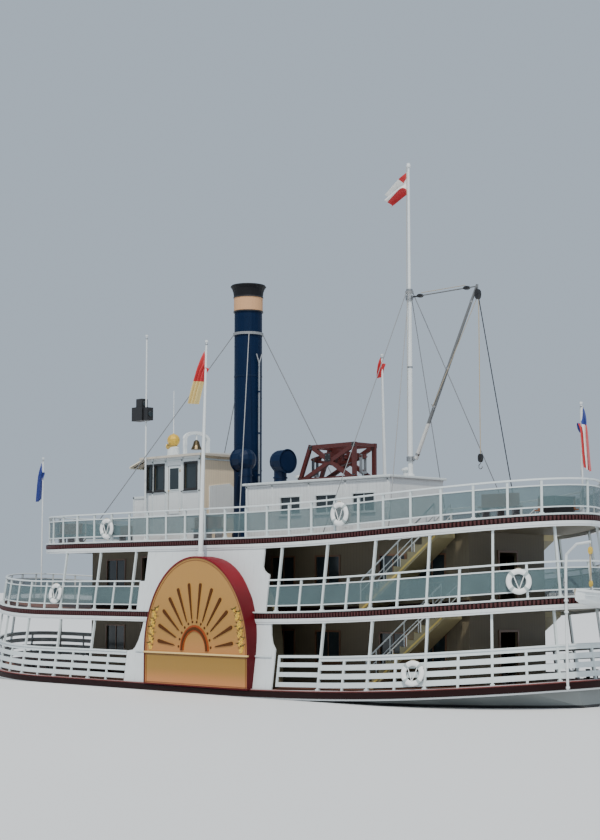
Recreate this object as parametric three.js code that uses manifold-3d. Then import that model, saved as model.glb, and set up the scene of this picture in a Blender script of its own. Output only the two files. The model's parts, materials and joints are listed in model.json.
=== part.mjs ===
// Side-wheel paddle boat. X runs forward to the bow, Y to port and Z up, in millimetres.
// The origin is under the middle of the whole boat, on the plane of its flat bottom.
import * as THREE from "three";
import { mergeVertices } from "three/addons/utils/BufferGeometryUtils.js";
import Module from "manifold-3d";

const wasm = await Module();
wasm.setup();

// Clearances
const GAP = 0.4; // between pieces that touch
const RUNNING = 12; // round a turning shaft or a door

// Decks: height of the walking surface, greatest half breadth, and the two rounded ends
const DECK_DEPTH = 300;
const DECKS = {
  main: { z: 1315, half: 4480, bow: 15685, bowRun: 6210, stern: -14355, sternRun: 5960 },
  middle: { z: 3890, half: 4120, bow: 15500, bowRun: 6100, stern: -14300, sternRun: 5960 },
  top: { z: 6468, half: 3760, bow: 12235, bowRun: 4825, stern: -14175, sternRun: 5960 },
};
const LEAN = 0.14; // how far the sides lean inboard for each unit of height
const SHEER_AFT = { start: -1665, end: -14600, rise: 639 };
const SHEER_FORE = { start: 8335, end: 15900, rise: 395 };
const SHEER_STEPS = 4;

// Rails and posts
const RAIL_HEIGHT = 1100;
const RAIL_INSET = 70;
const POST_STEP = 2155;
const POST = 70;

// Paddle wheels and their boxes
const PADDLE = { x: -670, z: 2530, radius: 2300, inner: 3080, outer: 4330, floats: 8, bore: 114 };
const SHAFT_RADIUS = 110;
const BOX = { half: 2730, rise: 3270, skin: 90, inner: 2920, back: 80, face: 4600, plate: 100 };

// Deck houses inside the promenades
const HOUSE = { fore: 8600, aft: -10900, half: 2000, wall: 80 };

// Top deck fittings
const CABIN = { fore: 6015, aft: 2715, half: 1400, wall: 70, roof: 9780, floor: 7500, sill: 8550, head: 9500 };
const DECKHOUSE = { fore: 165, aft: -7015, half: 1400, wall: 70, top: 8550 };
const FUNNEL = { x: 1555, radius: 537, wall: 30, top: 16400, crown: 700, crownFoot: 15940, bandFoot: 15360 };
const BEAM = { x: -3285, z: 9400, half: 1200, height: 620, width: 160 };
const GALLOWS = { foreFoot: -1805, foreTop: -2375, aft: -4625, top: 9890, side: 520, timber: 150 };
const MAST = { x: -6735, top: 19690, collar: 15080, footRadius: 90, topRadius: 40 };
const BOOM = { heelOut: 260, heelZ: 9180, tipX: -9775, tipZ: 14930, heelRadius: 70, tipRadius: 45 };

// The dinghy slung across the stern
const DINGHY = { x: -15070, z: 4110, length: 4300, beam: 1200, depth: 470, skin: 40 };
const DAVIT = { x: -14150, y: 1330, foot: 1650, knee: 5550, tip: 6120, radius: 45 };

const COLOURS = {
  white: { color: 0xf2f1ec, roughness: 0.55, metalness: 0 },
  deck: { color: 0x5a2320, roughness: 0.6, metalness: 0 },
  hull: { color: 0xd8d8d2, roughness: 0.5, metalness: 0 },
  wall: { color: 0xd9d2bd, roughness: 0.7, metalness: 0 },
  paddleBox: { color: 0xc99a55, roughness: 0.55, metalness: 0 },
  wheel: { color: 0xa32a20, roughness: 0.6, metalness: 0 },
  navy: { color: 0x142440, roughness: 0.4, metalness: 0.1 },
  oxide: { color: 0x6e1f1a, roughness: 0.6, metalness: 0 },
  steel: { color: 0x6c7075, roughness: 0.45, metalness: 0.8 },
  brass: { color: 0xc9a24a, roughness: 0.3, metalness: 0.9 },
  black: { color: 0x17181a, roughness: 0.6, metalness: 0.1 },
  door: { color: 0x6a3b24, roughness: 0.6, metalness: 0 },
  red: { color: 0xc02a2a, roughness: 0.8, metalness: 0 },
  blue: { color: 0x24408f, roughness: 0.8, metalness: 0 },
};

const boat = new THREE.Group();

// Solids

function solidOf(geometry) {
  const bare = geometry.index ? geometry.toNonIndexed() : geometry.clone();
  bare.deleteAttribute("normal");
  if (bare.hasAttribute("uv")) bare.deleteAttribute("uv");
  const merged = mergeVertices(bare, 1e-3);
  return new wasm.Manifold(
    new wasm.Mesh({
      numProp: 3,
      vertProperties: merged.attributes.position.array,
      triVerts: new Uint32Array(merged.index.array),
    }),
  );
}

function fuse(solids) {
  return solids.reduce((whole, piece) => whole.add(piece));
}

function cut(solid, tools) {
  return tools.reduce((left, tool) => left.subtract(tool), solid);
}

function place(name, solid, look) {
  const mesh = solid.getMesh();
  const vertices = new Float32Array(mesh.numVert * 3);
  for (let i = 0; i < mesh.numVert; i++) {
    vertices.set(mesh.vertProperties.subarray(i * mesh.numProp, i * mesh.numProp + 3), i * 3);
  }
  const geometry = new THREE.BufferGeometry();
  geometry.setAttribute("position", new THREE.BufferAttribute(vertices, 3));
  geometry.setIndex(new THREE.BufferAttribute(mesh.triVerts, 1));
  const piece = new THREE.Mesh(geometry, new THREE.MeshStandardMaterial(COLOURS[look]));
  piece.name = name;
  boat.add(piece);
}

function block(x0, x1, y0, y1, z0, z1) {
  const geometry = new THREE.BoxGeometry(x1 - x0, y1 - y0, z1 - z0);
  geometry.translate((x0 + x1) / 2, (y0 + y1) / 2, (z0 + z1) / 2);
  return solidOf(geometry);
}

// A mesh from rings of points that all hold the same number of points; the ends are capped unless it closes.
function loft(rings, closed = false) {
  const sides = rings[0].length;
  const positions = rings.flat(2);
  const faces = [];
  const joins = closed ? rings.length : rings.length - 1;
  for (let i = 0; i < joins; i++) {
    const next = (i + 1) % rings.length;
    for (let j = 0; j < sides; j++) {
      const k = (j + 1) % sides;
      const [a, b, c, d] = [i * sides + j, i * sides + k, next * sides + j, next * sides + k];
      faces.push(a, b, d, a, d, c);
    }
  }
  if (!closed) {
    const last = (rings.length - 1) * sides;
    for (let j = 1; j + 1 < sides; j++) {
      faces.push(0, j + 1, j, last, last + j, last + j + 1);
    }
  }
  return outwardSolid(positions, faces);
}

function outwardSolid(positions, faces) {
  const build = (triangles) =>
    new wasm.Manifold(
      new wasm.Mesh({
        numProp: 3,
        vertProperties: new Float32Array(positions),
        triVerts: new Uint32Array(triangles),
      }),
    );
  const solid = build(faces);
  if (solid.volume() > 0) return solid;
  const turned = [];
  for (let i = 0; i < faces.length; i += 3) turned.push(faces[i], faces[i + 2], faces[i + 1]);
  return build(turned);
}

// A round bar from p to q, or a cone when the two radii differ.
function rod(p, q, radius, sides = 10, endRadius = radius) {
  const from = new THREE.Vector3(...p);
  const along = new THREE.Vector3(...q).sub(from);
  const geometry = new THREE.CylinderGeometry(endRadius, radius, along.length(), sides);
  geometry.translate(0, along.length() / 2, 0);
  const turn = new THREE.Quaternion().setFromUnitVectors(new THREE.Vector3(0, 1, 0), along.clone().normalize());
  geometry.applyQuaternion(turn);
  geometry.translate(...p);
  return solidOf(geometry);
}

// A square timber from p to q in a plane of constant Y.
function timber(p, q, y, width, depth) {
  const [dx, dz] = [q[0] - p[0], q[1] - p[1]];
  const length = Math.hypot(dx, dz);
  const geometry = new THREE.BoxGeometry(length, width, depth);
  geometry.rotateY(-Math.atan2(dz, dx));
  geometry.translate((p[0] + q[0]) / 2, y, (p[1] + q[1]) / 2);
  return solidOf(geometry);
}

// A turned piece about the Z axis through (x, y); the profile is [radius, z] pairs.
function turned(x, y, profile, sides = 24) {
  const geometry = new THREE.LatheGeometry(profile.map(([r, z]) => new THREE.Vector2(r, z)), sides);
  geometry.rotateX(Math.PI / 2);
  geometry.translate(x, y, 0);
  return outwardFrom(geometry);
}

function outwardFrom(geometry) {
  const bare = geometry.clone();
  bare.deleteAttribute("normal");
  bare.deleteAttribute("uv");
  const merged = mergeVertices(bare, 1e-3);
  return outwardSolid([...merged.attributes.position.array], dropSlivers([...merged.index.array]));
}

function dropSlivers(faces) {
  const kept = [];
  for (let i = 0; i < faces.length; i += 3) {
    const [a, b, c] = faces.slice(i, i + 3);
    if (a !== b && b !== c && c !== a) kept.push(a, b, c);
  }
  return kept;
}

// A flat outline in X and Z, given as a THREE.Shape, spread from y0 to y1.
function slab(shape, y0, y1, curveSegments = 16) {
  const geometry = new THREE.ExtrudeGeometry(shape, { depth: y1 - y0, bevelEnabled: false, curveSegments });
  geometry.rotateX(Math.PI / 2);
  geometry.translate(0, y1, 0);
  return solidOf(geometry);
}

function shapeOf(points) {
  return new THREE.Shape(points.map(([x, z]) => new THREE.Vector2(x, z)));
}

function mirrored(solid) {
  return solid.mirror([0, 1, 0]);
}

const SIDES = [
  { name: "port", flip: (solid) => solid },
  { name: "starboard", flip: mirrored },
];

// Sheer and deck outlines

function steps(from, to, count) {
  return Array.from({ length: count + 1 }, (_, i) => from + ((to - from) * i) / count);
}

const KNOTS = [
  ...steps(SHEER_AFT.end, SHEER_AFT.start, SHEER_STEPS),
  ...steps(SHEER_FORE.start, SHEER_FORE.end, SHEER_STEPS - 1),
];

function riseAt(x) {
  const run = x < SHEER_AFT.start ? SHEER_AFT : SHEER_FORE;
  const share = (x - run.start) / (run.end - run.start);
  return share > 0 ? run.rise * share ** 2 : 0;
}

// The sheer is straight between the knots, so that decks and walls meet along it.
function sheer(x) {
  const next = Math.max(1, KNOTS.findIndex((knot) => knot >= x));
  const [a, b] = [KNOTS[next - 1], KNOTS[next]];
  const share = (x - a) / (b - a);
  return riseAt(a) * (1 - share) + riseAt(b) * share;
}

function withKnots(low, high) {
  return [low, ...KNOTS.filter((knot) => knot > low + 1 && knot < high - 1), high];
}

const END_ANGLES = [4, 17, 31, 45, 60, 76];

function halfAt(deck, x) {
  const fore = (x - (deck.bow - deck.bowRun)) / deck.bowRun;
  const aft = (deck.stern + deck.sternRun - x) / deck.sternRun;
  const share = Math.min(1, Math.max(0, fore, aft));
  return deck.half * Math.sqrt(1 - share ** 2);
}

// Stations from stern to bow where an outline or the sheer changes.
function stations(deck) {
  const radians = END_ANGLES.map((angle) => (angle * Math.PI) / 180);
  const fore = radians.map((a) => deck.bow - deck.bowRun * (1 - Math.cos(a)));
  const aft = radians.map((a) => deck.stern + deck.sternRun * (1 - Math.cos(a)));
  const ends = [deck.stern + deck.sternRun, deck.bow - deck.bowRun];
  const knots = KNOTS.filter((x) => x > Math.min(...aft) && x < Math.max(...fore));
  const all = [...fore, ...aft, ...ends, ...knots].sort((a, b) => a - b);
  return all.filter((x, i) => i === 0 || x - all[i - 1] > 5);
}

function deckSlab(deck) {
  return loft(
    stations(deck).map((x) => {
      const half = halfAt(deck, x);
      const top = deck.z + sheer(x);
      return [
        [x, half, top],
        [x, half, top - DECK_DEPTH],
        [x, -half, top - DECK_DEPTH],
        [x, -half, top],
      ];
    }),
  );
}

// Everything between two heights that follow the sheer.
function layer(low, high) {
  const reach = 6000;
  return loft(
    withKnots(SHEER_AFT.end, SHEER_FORE.end).map((x) => [
      [x, reach, low + sheer(x)],
      [x, reach, high + sheer(x)],
      [x, -reach, high + sheer(x)],
      [x, -reach, low + sheer(x)],
    ]),
  );
}

const storeyOnMain = layer(DECKS.main.z + GAP, DECKS.middle.z - DECK_DEPTH - GAP);
const storeyOnMiddle = layer(DECKS.middle.z + GAP, DECKS.top.z - DECK_DEPTH - GAP);
const aboveTop = layer(DECKS.top.z + GAP, DECKS.top.z + 14000);

// Paddle boxes

// The arch of a paddle box, grown outward by a margin, down to a given height.
function archShape(margin, foot) {
  const shape = new THREE.Shape();
  const half = BOX.half + margin;
  shape.moveTo(PADDLE.x + half, foot);
  shape.lineTo(PADDLE.x + half, PADDLE.z);
  shape.absellipse(PADDLE.x, PADDLE.z, half, BOX.rise + margin, 0, Math.PI, false);
  shape.lineTo(PADDLE.x - half, foot);
  return shape;
}

function shaftHole(radius, y0, y1) {
  return rod([PADDLE.x, y0, PADDLE.z], [PADDLE.x, y1, PADDLE.z], radius, 20);
}

// The walls beside a paddle box seen from the side, [x, z] from the forward foot round to the aft foot.
// They flare out above the handrail, and the last stretch of rail is closed with a panel.
const WING_WALLS = {
  main: [
    [3490, 1200],
    [3490, 2410],
    [3180, 2450],
    [3050, 2560],
    [2905, 2830],
    [2790, 3250],
    [2725, 3600],
    [2725, 3900],
    [-4025, 3900],
    [-4025, 3450],
    [-4065, 3150],
    [-4170, 2860],
    [-4335, 2660],
    [-4335, 1200],
  ],
  middle: [
    [3235, 3750],
    [3235, 4970],
    [2950, 4970],
    [2950, 6500],
    [-3325, 6500],
    [-3325, 5440],
    [-3390, 5320],
    [-3535, 5230],
    [-3680, 5170],
    [-3680, 3750],
  ],
};
const WING_THICKNESS = 60;

// A wall on the line of the rails, which leans inboard with height.
function leaningWall(deck, outline) {
  const outer = deck.half - RAIL_INSET;
  const upright = slab(shapeOf(outline), outer - WING_THICKNESS, outer);
  return upright.transform([1, 0, 0, 0, 0, 1, 0, 0, 0, -LEAN, 1, 0, 0, LEAN * deck.z, 0, 1]);
}

function paddleBox() {
  const foot = DECKS.main.z + GAP;
  const hood = slab(archShape(0, foot), BOX.inner, BOX.face);
  const space = slab(archShape(-BOX.skin, foot - 100), BOX.inner + BOX.back, BOX.face - BOX.plate);
  const main = leaningWall(DECKS.main, WING_WALLS.main).intersect(storeyOnMain);
  const middle = leaningWall(DECKS.middle, WING_WALLS.middle).intersect(storeyOnMiddle);
  const standing = fuse([hood.intersect(layer(foot, 12000)), main, middle]);
  return cut(standing, [space, shaftHole(SHAFT_RADIUS + 40, 2800, 3100)]);
}

const archThroughDeck = slab(archShape(3, 2000), BOX.inner - 3, 5000);

// Hull

// Columns: x, height of the bottom, its half breadth, height of the chine, its half breadth, half breadth at the deck.
const HULL_SECTIONS = [
  [-14100, 1020, 260, 1080, 420, 700],
  [-13300, 900, 900, 1010, 1300, 2000],
  [-12000, 620, 1500, 900, 2350, 3050],
  [-10400, 200, 2100, 650, 3250, 3750],
  [-9000, 0, 2500, 400, 3750, 4150],
  [-5500, 0, 2900, 330, 4100, 4300],
  [4500, 0, 2900, 330, 4100, 4300],
  [8000, 0, 2500, 400, 3700, 4150],
  [10500, 0, 1700, 500, 2750, 3700],
  [12400, 60, 900, 600, 1700, 3000],
  [14000, 300, 300, 750, 800, 1950],
  [15100, 700, 60, 950, 220, 800],
];
const WHEEL_WELL = { fore: 1800, aft: -3140, inner: 2980 };
const SKEG = { fore: -10500, aft: -12380, foot: 120, half: 60 };
const RUDDER = { x: -12600, fore: -12430, aft: -13500, foot: 140, top: 690, half: 35, stock: 60, stockTop: 1000 };

function hull() {
  const body = loft(
    HULL_SECTIONS.map(([x, bottom, bottomHalf, chine, chineHalf, topHalf]) => {
      const top = DECKS.main.z - DECK_DEPTH + sheer(x) - 12;
      return [
        [x, bottomHalf, bottom],
        [x, chineHalf, chine],
        [x, topHalf, top],
        [x, -topHalf, top],
        [x, -chineHalf, chine],
        [x, -bottomHalf, bottom],
      ];
    }),
  );
  const well = block(WHEEL_WELL.aft, WHEEL_WELL.fore, WHEEL_WELL.inner, 6000, -100, 2500);
  const skeg = block(SKEG.aft, SKEG.fore, -SKEG.half, SKEG.half, SKEG.foot, 700);
  const stockHole = rod([RUDDER.x, 0, 200], [RUDDER.x, 0, RUDDER.stockTop + 20], RUDDER.stock + RUNNING, 16);
  const whole = fuse([body.subtract(layer(DECKS.main.z - DECK_DEPTH - GAP, 4000)), skeg]);
  return cut(whole, [well, mirrored(well), stockHole]);
}

function rudder() {
  const blade = block(RUDDER.aft, RUDDER.fore, -RUDDER.half, RUDDER.half, RUDDER.foot, RUDDER.top);
  const stock = rod([RUDDER.x, 0, RUDDER.foot + 50], [RUDDER.x, 0, RUDDER.stockTop], RUDDER.stock, 16);
  return blade.add(stock);
}

// Decks

const STAIR = { inner: 2200, outer: 3100, depth: 250, risers: 12 };
const STAIRWAYS = [
  { deck: "main", to: "middle", foot: -7400, head: -11050 },
  { deck: "middle", to: "top", foot: -7150, head: -10800 },
];
const WELL_AHEAD = 2300;

function stairwell(stair) {
  const z = DECKS[stair.to].z;
  const x0 = stair.head - 60;
  return block(x0, x0 + WELL_AHEAD + 900, STAIR.inner - 60, STAIR.outer + 60, z - 500, z + 900);
}

function mainDeck() {
  const slot = block(WHEEL_WELL.aft, WHEEL_WELL.fore, BOX.inner + BOX.back, 4400, 500, 2500);
  return cut(deckSlab(DECKS.main), [slot, mirrored(slot)]);
}

function middleDeck() {
  const well = stairwell(STAIRWAYS[0]);
  return cut(deckSlab(DECKS.middle), [archThroughDeck, mirrored(archThroughDeck), well, mirrored(well)]);
}

function topDeck() {
  const well = stairwell(STAIRWAYS[1]);
  return cut(deckSlab(DECKS.top), [well, mirrored(well)]);
}

// Rails: points along a deck edge, each with its outward direction

function edgePoints(deck) {
  const port = stations(deck)
    .reverse()
    .map((x) => [x, halfAt(deck, x)]);
  const ring = [...port, ...port.map(([x, y]) => [x, -y]).reverse()];
  return ring.map(([x, y], i) => {
    const [px, py] = ring[(i + ring.length - 1) % ring.length];
    const [nx, ny] = ring[(i + 1) % ring.length];
    const length = Math.hypot(nx - px, ny - py);
    return { x, y, outX: (ny - py) / length, outY: (px - nx) / length };
  });
}

// The part of a deck's edge that lies aft (or forward) of a station, from port round to starboard.
function edgeRun(deck, x, aft) {
  const ring = edgePoints(deck);
  const inside = (point) => (aft ? point.x < x - 5 : point.x > x + 5);
  const end = (side) => ({ x, y: side * halfAt(deck, x), outX: 0, outY: side });
  if (aft) return [end(1), ...ring.filter(inside), end(-1)];
  const half = ring.length / 2;
  const fore = [...ring.slice(half), ...ring.slice(0, half)].filter(inside);
  return [end(-1), ...fore, end(1)];
}

// The distance along a path of each of its points.
function distances(path) {
  let gone = 0;
  return path.map((point, i) => {
    if (i > 0) gone += Math.hypot(point.x - path[i - 1].x, point.y - path[i - 1].y);
    return gone;
  });
}

function pointAt(path, marks, want) {
  const next = Math.max(1, marks.findIndex((mark) => mark >= want - 1e-6));
  const [a, b] = [path[next - 1], path[next]];
  const share = (want - marks[next - 1]) / (marks[next] - marks[next - 1]);
  const mix = (key) => a[key] * (1 - share) + b[key] * share;
  return { x: mix("x"), y: mix("y"), outX: mix("outX"), outY: mix("outY") };
}

// Heights above the deck of the low and high edge of each board.
const BOARDED = [
  [50, 210],
  [380, 540],
  [700, 860],
  [1000, RAIL_HEIGHT],
];
const PANELLED = [
  [130, 790],
  [1030, RAIL_HEIGHT],
];
const RAIL_THICKNESS = 60;

// A rail along a path: boards crossed by posts, alike from both ends, some of which reach the deck above.
function railing(deck, path, boards, firstPost, isTall, closed = false) {
  const loop = closed ? [...path, path[0]] : path;
  const marks = distances(loop);
  const total = marks[marks.length - 1];
  const posts = [];
  for (let at = firstPost; at < total / 2 - POST; at += POST_STEP) posts.push(at, total - at);
  const bends = marks.filter((at) => posts.every((middle) => Math.abs(at - middle) > 1.2 * POST));
  const starts = [
    ...(closed ? bends.slice(0, -1) : bends).map((at) => ({ at, post: false })),
    ...posts.map((at) => ({ at: at - POST / 2, post: true })),
    ...posts.map((at) => ({ at: at + POST / 2, post: false })),
  ].sort((a, b) => a.at - b.at);
  const columns = starts.map(({ at, post }) => ({ post, point: pointAt(loop, marks, at) }));
  const heights = [-60, ...boards.flat(), TALL];
  return grille(deck, columns, heights, isTall, closed);
}

// Cells between columns and heights that are filled make the rail, all of one thickness.
function grille(deck, columns, heights, isTall, closed) {
  const [across, up] = [closed ? columns.length : columns.length - 1, heights.length - 1];
  const filled = (i, k) => {
    if (k < 0 || k >= up) return false;
    if (!closed && (i < 0 || i >= across)) return false;
    const { post, point } = columns[(i + across) % across];
    return post ? k < up - 1 || isTall(point) : k % 2 === 1;
  };
  const lean = deck === DECKS.top ? 0 : LEAN;
  const positions = columns.flatMap(({ point }) =>
    heights.flatMap((z) =>
      [0, RAIL_THICKNESS].flatMap((depth) => {
        const out = -RAIL_INSET - lean * z - depth;
        return [point.x + point.outX * out, point.y + point.outY * out, deck.z + sheer(point.x) + z];
      }),
    ),
  );
  const faces = [];
  const corner = (i, k, inner) => ((i % columns.length) * heights.length + k) * 2 + inner;
  const quad = (a, b, c, d) => faces.push(a, b, c, a, c, d);
  for (let i = 0; i < across; i++) {
    for (let k = 0; k < up; k++) {
      if (!filled(i, k)) continue;
      const [a, b, c, d] = [corner(i, k, 0), corner(i + 1, k, 0), corner(i + 1, k + 1, 0), corner(i, k + 1, 0)];
      quad(a, b, c, d);
      quad(a + 1, d + 1, c + 1, b + 1);
      if (!filled(i - 1, k)) quad(a, d, d + 1, a + 1);
      if (!filled(i + 1, k)) quad(c, b, b + 1, c + 1);
      if (!filled(i, k - 1)) quad(b, a, a + 1, b + 1);
      if (!filled(i, k + 1)) quad(d, c, c + 1, d + 1);
    }
  }
  return outwardSolid(positions, faces);
}

const GATE = { fore: -4375, aft: -6420 };
const RAIL_END = 30;
const TALL = 2700; // posts that reach the deck above
const LAST_TALL_POST = 8800;

const FIRST_POSTS = { mainFore: 2175, mainAft: 45, middleFore: 400, middleAft: 465, top: 300 };

function wingEnd(outline, fore) {
  return fore ? outline[0][0] + RAIL_END : outline[outline.length - 1][0] - RAIL_END;
}

function mainRails() {
  const fore = edgeRun(DECKS.main, wingEnd(WING_WALLS.main, true), false);
  const aft = edgeRun(DECKS.main, GATE.aft - RAIL_END, true);
  const rail = (path, first) => railing(DECKS.main, path, BOARDED, first, () => true).intersect(storeyOnMain);
  place("main_rail_fore", rail(fore, FIRST_POSTS.mainFore), "white");
  place("main_rail_aft", rail(aft, FIRST_POSTS.mainAft), "white");
}

function middleRails() {
  const fore = edgeRun(DECKS.middle, wingEnd(WING_WALLS.middle, true), false);
  const aft = edgeRun(DECKS.middle, wingEnd(WING_WALLS.middle, false), true);
  const underTop = (point) => point.x < LAST_TALL_POST;
  const rail = (path, first) => railing(DECKS.middle, path, PANELLED, first, underTop).intersect(storeyOnMiddle);
  place("middle_rail_fore", rail(fore, FIRST_POSTS.middleFore), "white");
  place("middle_rail_aft", rail(aft, FIRST_POSTS.middleAft), "white");
}

function topRail() {
  const rail = railing(DECKS.top, edgePoints(DECKS.top), PANELLED, FIRST_POSTS.top, () => false, true);
  place("top_rail", rail.intersect(aboveTop), "white");
}

// Deck houses

function holesIn(openings, z) {
  return openings.map(([low, high, sill, head]) => block(low, high, -9000, 9000, z + sill, z + head));
}

function shell(x0, x1, half, wall, z0, z1) {
  const outer = block(x0, x1, -half, half, z0, z1);
  const inner = block(x0 + wall, x1 - wall, -half + wall, half - wall, z0 - 100, z1 + 100);
  return outer.subtract(inner);
}

// Columns: aft and forward end, sill and head above the deck.
const HOUSE_WINDOWS = [
  [-9900, -8800, 900, 1900],
  [-8200, -7100, 900, 1900],
  [-5200, -4100, 900, 1900],
  [-3000, -1900, 900, 1900],
  [700, 1800, 900, 1900],
  [2400, 3500, 900, 1900],
  [6500, 7600, 900, 1900],
];
const HOUSE_DOOR = { x: 4500, width: 900, height: 1980, thickness: 45 };

function houseWalls(deck, storey) {
  const walls = shell(HOUSE.aft, HOUSE.fore, HOUSE.half, HOUSE.wall, deck.z - 200, deck.z + 2900);
  const door = [HOUSE_DOOR.x, HOUSE_DOOR.x + HOUSE_DOOR.width, -300, HOUSE_DOOR.height];
  const ends = block(-20000, 20000, -450, 450, deck.z - 300, deck.z + HOUSE_DOOR.height);
  return cut(walls, [...holesIn([...HOUSE_WINDOWS, door], deck.z), ends]).intersect(storey);
}

function deckHouses() {
  const shaftWay = shaftHole(SHAFT_RADIUS + 60, -2200, 2200);
  place("main_house", houseWalls(DECKS.main, storeyOnMain).subtract(shaftWay), "wall");
  place("middle_house", houseWalls(DECKS.middle, storeyOnMiddle), "wall");
}

// A door leaf that fills its opening with running room, hinged at its after edge.
function doorLeaf(z) {
  const face = HOUSE.half - 10;
  return block(
    HOUSE_DOOR.x + RUNNING,
    HOUSE_DOOR.x + HOUSE_DOOR.width - RUNNING,
    face - HOUSE_DOOR.thickness,
    face,
    z + RUNNING,
    z + HOUSE_DOOR.height - RUNNING,
  );
}

// Stairs

function staircase(stair) {
  const [low, high] = [DECKS[stair.deck], DECKS[stair.to]];
  const foot = low.z + sheer(stair.foot - 360) + GAP;
  const rise = (high.z + sheer(stair.head) - foot) / STAIR.risers;
  const going = (stair.foot - stair.head) / STAIR.risers;
  const treads = steps(0, STAIR.risers - 2, STAIR.risers - 2).flatMap((n) => [
    [stair.foot - going * n, foot + rise * (n + 1)],
    [stair.foot - going * (n + 1), foot + rise * (n + 1)],
  ]);
  const last = treads[treads.length - 1];
  const underside = [
    [last[0], last[1] - STAIR.depth],
    [stair.foot - (STAIR.depth * going) / rise, foot],
  ];
  return slab(shapeOf([[stair.foot, foot], ...treads, ...underside]), STAIR.inner, STAIR.outer);
}

// Paddle wheels

function wheel() {
  const { x, z, radius, inner, outer, floats } = PADDLE;
  const middle = (inner + outer) / 2;
  const ring = (y, r0, r1, width) => {
    const shape = new THREE.Shape();
    shape.absarc(x, z, r1, 0, 2 * Math.PI, false);
    const hole = new THREE.Path();
    hole.absarc(x, z, r0, 0, 2 * Math.PI, true);
    shape.holes.push(hole);
    return slab(shape, y - width / 2, y + width / 2, floats * 2);
  };
  const hub = ring(middle, PADDLE.bore, 260, outer - inner);
  const planes = [inner + 60, outer - 60];
  const rims = planes.map((y) => ring(y, radius - 560, radius - 460, 60));
  const spokes = planes.flatMap((y) =>
    steps(0, floats - 1, floats - 1).map((n) => {
      const a = (2 * Math.PI * n) / floats;
      const end = [x + radius * 0.985 * Math.cos(a), z + radius * 0.985 * Math.sin(a)];
      const start = [x + 230 * Math.cos(a), z + 230 * Math.sin(a)];
      return timber(start, end, y, 60, 80);
    }),
  );
  const boards = steps(0, floats - 1, floats - 1).map((n) => {
    const a = (2 * Math.PI * n) / floats;
    const at = (r) => [x + r * Math.cos(a), z + r * Math.sin(a)];
    return timber(at(radius - 380), at(radius), middle, outer - inner, 40);
  });
  return fuse([hub, ...rims, ...spokes, ...boards]);
}

function paddles() {
  place("paddle_shaft", shaftHole(SHAFT_RADIUS, -PADDLE.outer - 100, PADDLE.outer + 100), "steel");
  SIDES.forEach(({ name, flip }) => {
    place("paddle_wheel_" + name, flip(wheel()), "wheel");
    place("paddle_box_" + name, flip(paddleBox()), "paddleBox");
  });
}

// Machinery, each as one plain block

function machinery() {
  const [floor, top] = [DECKS.main.z, DECKS.main.z + 1800];
  place("engine", block(-6600, -3300, -800, 800, floor, top).intersect(storeyOnMain), "steel");
  place("boiler", block(300, 3700, -950, 950, floor, top).intersect(storeyOnMain), "black");
}

// Top deck fittings

function pilothouse() {
  const { fore, aft, half, wall, roof, floor, sill, head } = CABIN;
  const foot = DECKS.top.z + GAP;
  const walls = shell(aft, fore, half, wall, foot, roof - GAP);
  const storeyFloor = block(aft + 10, fore - 10, -half + 10, half - 10, floor - 120, floor);
  // Columns: aft end, forward end, sill and head of the side windows.
  const sideWindows = [
    [5600, 5880, sill, head],
    [4865, 5415, sill, head],
    [2950, 3600, sill, head],
  ].map(([low, high, z0, z1]) => block(low, high, -9000, 9000, z0, z1));
  const frontWindows = [-1150, -350, 450].map((y) => block(fore - 400, fore + 400, y, y + 700, sill - 150, head));
  const backWindow = block(aft - 400, aft + 400, -1050, -450, sill + 150, head - 50);
  const doorway = block(CABIN_DOOR.x, CABIN_DOOR.x + CABIN_DOOR.width, -9000, 9000, floor, floor + CABIN_DOOR.height);
  const house = cut(walls.add(storeyFloor), [...sideWindows, ...frontWindows, backWindow, doorway]);
  const bulwark = shell(fore - BULWARK.thickness, fore + BULWARK.reach, half, BULWARK.thickness, foot, BULWARK.top);
  return fuse([house, bulwark, cabinSteps(), mirrored(cabinSteps())]);
}

const CABIN_DOOR = { x: 3880, width: 740, height: 1960, thickness: 40 };
const BULWARK = { reach: 740, top: 8300, thickness: 60 };
const CABIN_STEP = { count: 4, tread: 250 };

// Solid steps that go down outboard from a pilothouse door to the top deck.
function cabinSteps() {
  const rise = (CABIN.floor - DECKS.top.z) / (CABIN_STEP.count + 1);
  const treads = steps(1, CABIN_STEP.count, CABIN_STEP.count - 1).map((step) => {
    const outer = CABIN.half + step * CABIN_STEP.tread;
    const top = CABIN.floor - step * rise;
    return block(CABIN_DOOR.x, CABIN_DOOR.x + CABIN_DOOR.width, CABIN.half - 20, outer, DECKS.top.z + GAP, top);
  });
  return fuse(treads);
}

function cabinDoor() {
  const face = CABIN.half - 10;
  return block(
    CABIN_DOOR.x + RUNNING,
    CABIN_DOOR.x + CABIN_DOOR.width - RUNNING,
    face - CABIN_DOOR.thickness,
    face,
    CABIN.floor + RUNNING,
    CABIN.floor + CABIN_DOOR.height - RUNNING,
  );
}

function cabinRoof() {
  const { fore, aft, half, roof } = CABIN;
  const crown = (y) => 90 * (1 - (y / (half + 150)) ** 2);
  const across = steps(-half - 150, half + 150, 8);
  const section = (x, lift) => [
    ...across.map((y) => [x, y, roof + 60 + crown(y) + lift]),
    [x, half + 150, roof + lift],
    [x, -half - 150, roof + lift],
  ];
  const awning = loft([
    [
      [fore, -half - 100, roof + 40],
      [fore, half + 100, roof + 40],
      [fore, half + 100, roof],
      [fore, -half - 100, roof],
    ],
    [
      [fore + 850, -half - 100, roof - 220],
      [fore + 850, half + 100, roof - 220],
      [fore + 850, half + 100, roof - 260],
      [fore + 850, -half - 100, roof - 260],
    ],
  ]);
  return loft([section(aft - 150, 0), section(fore + 100, 0)]).add(awning);
}

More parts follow.
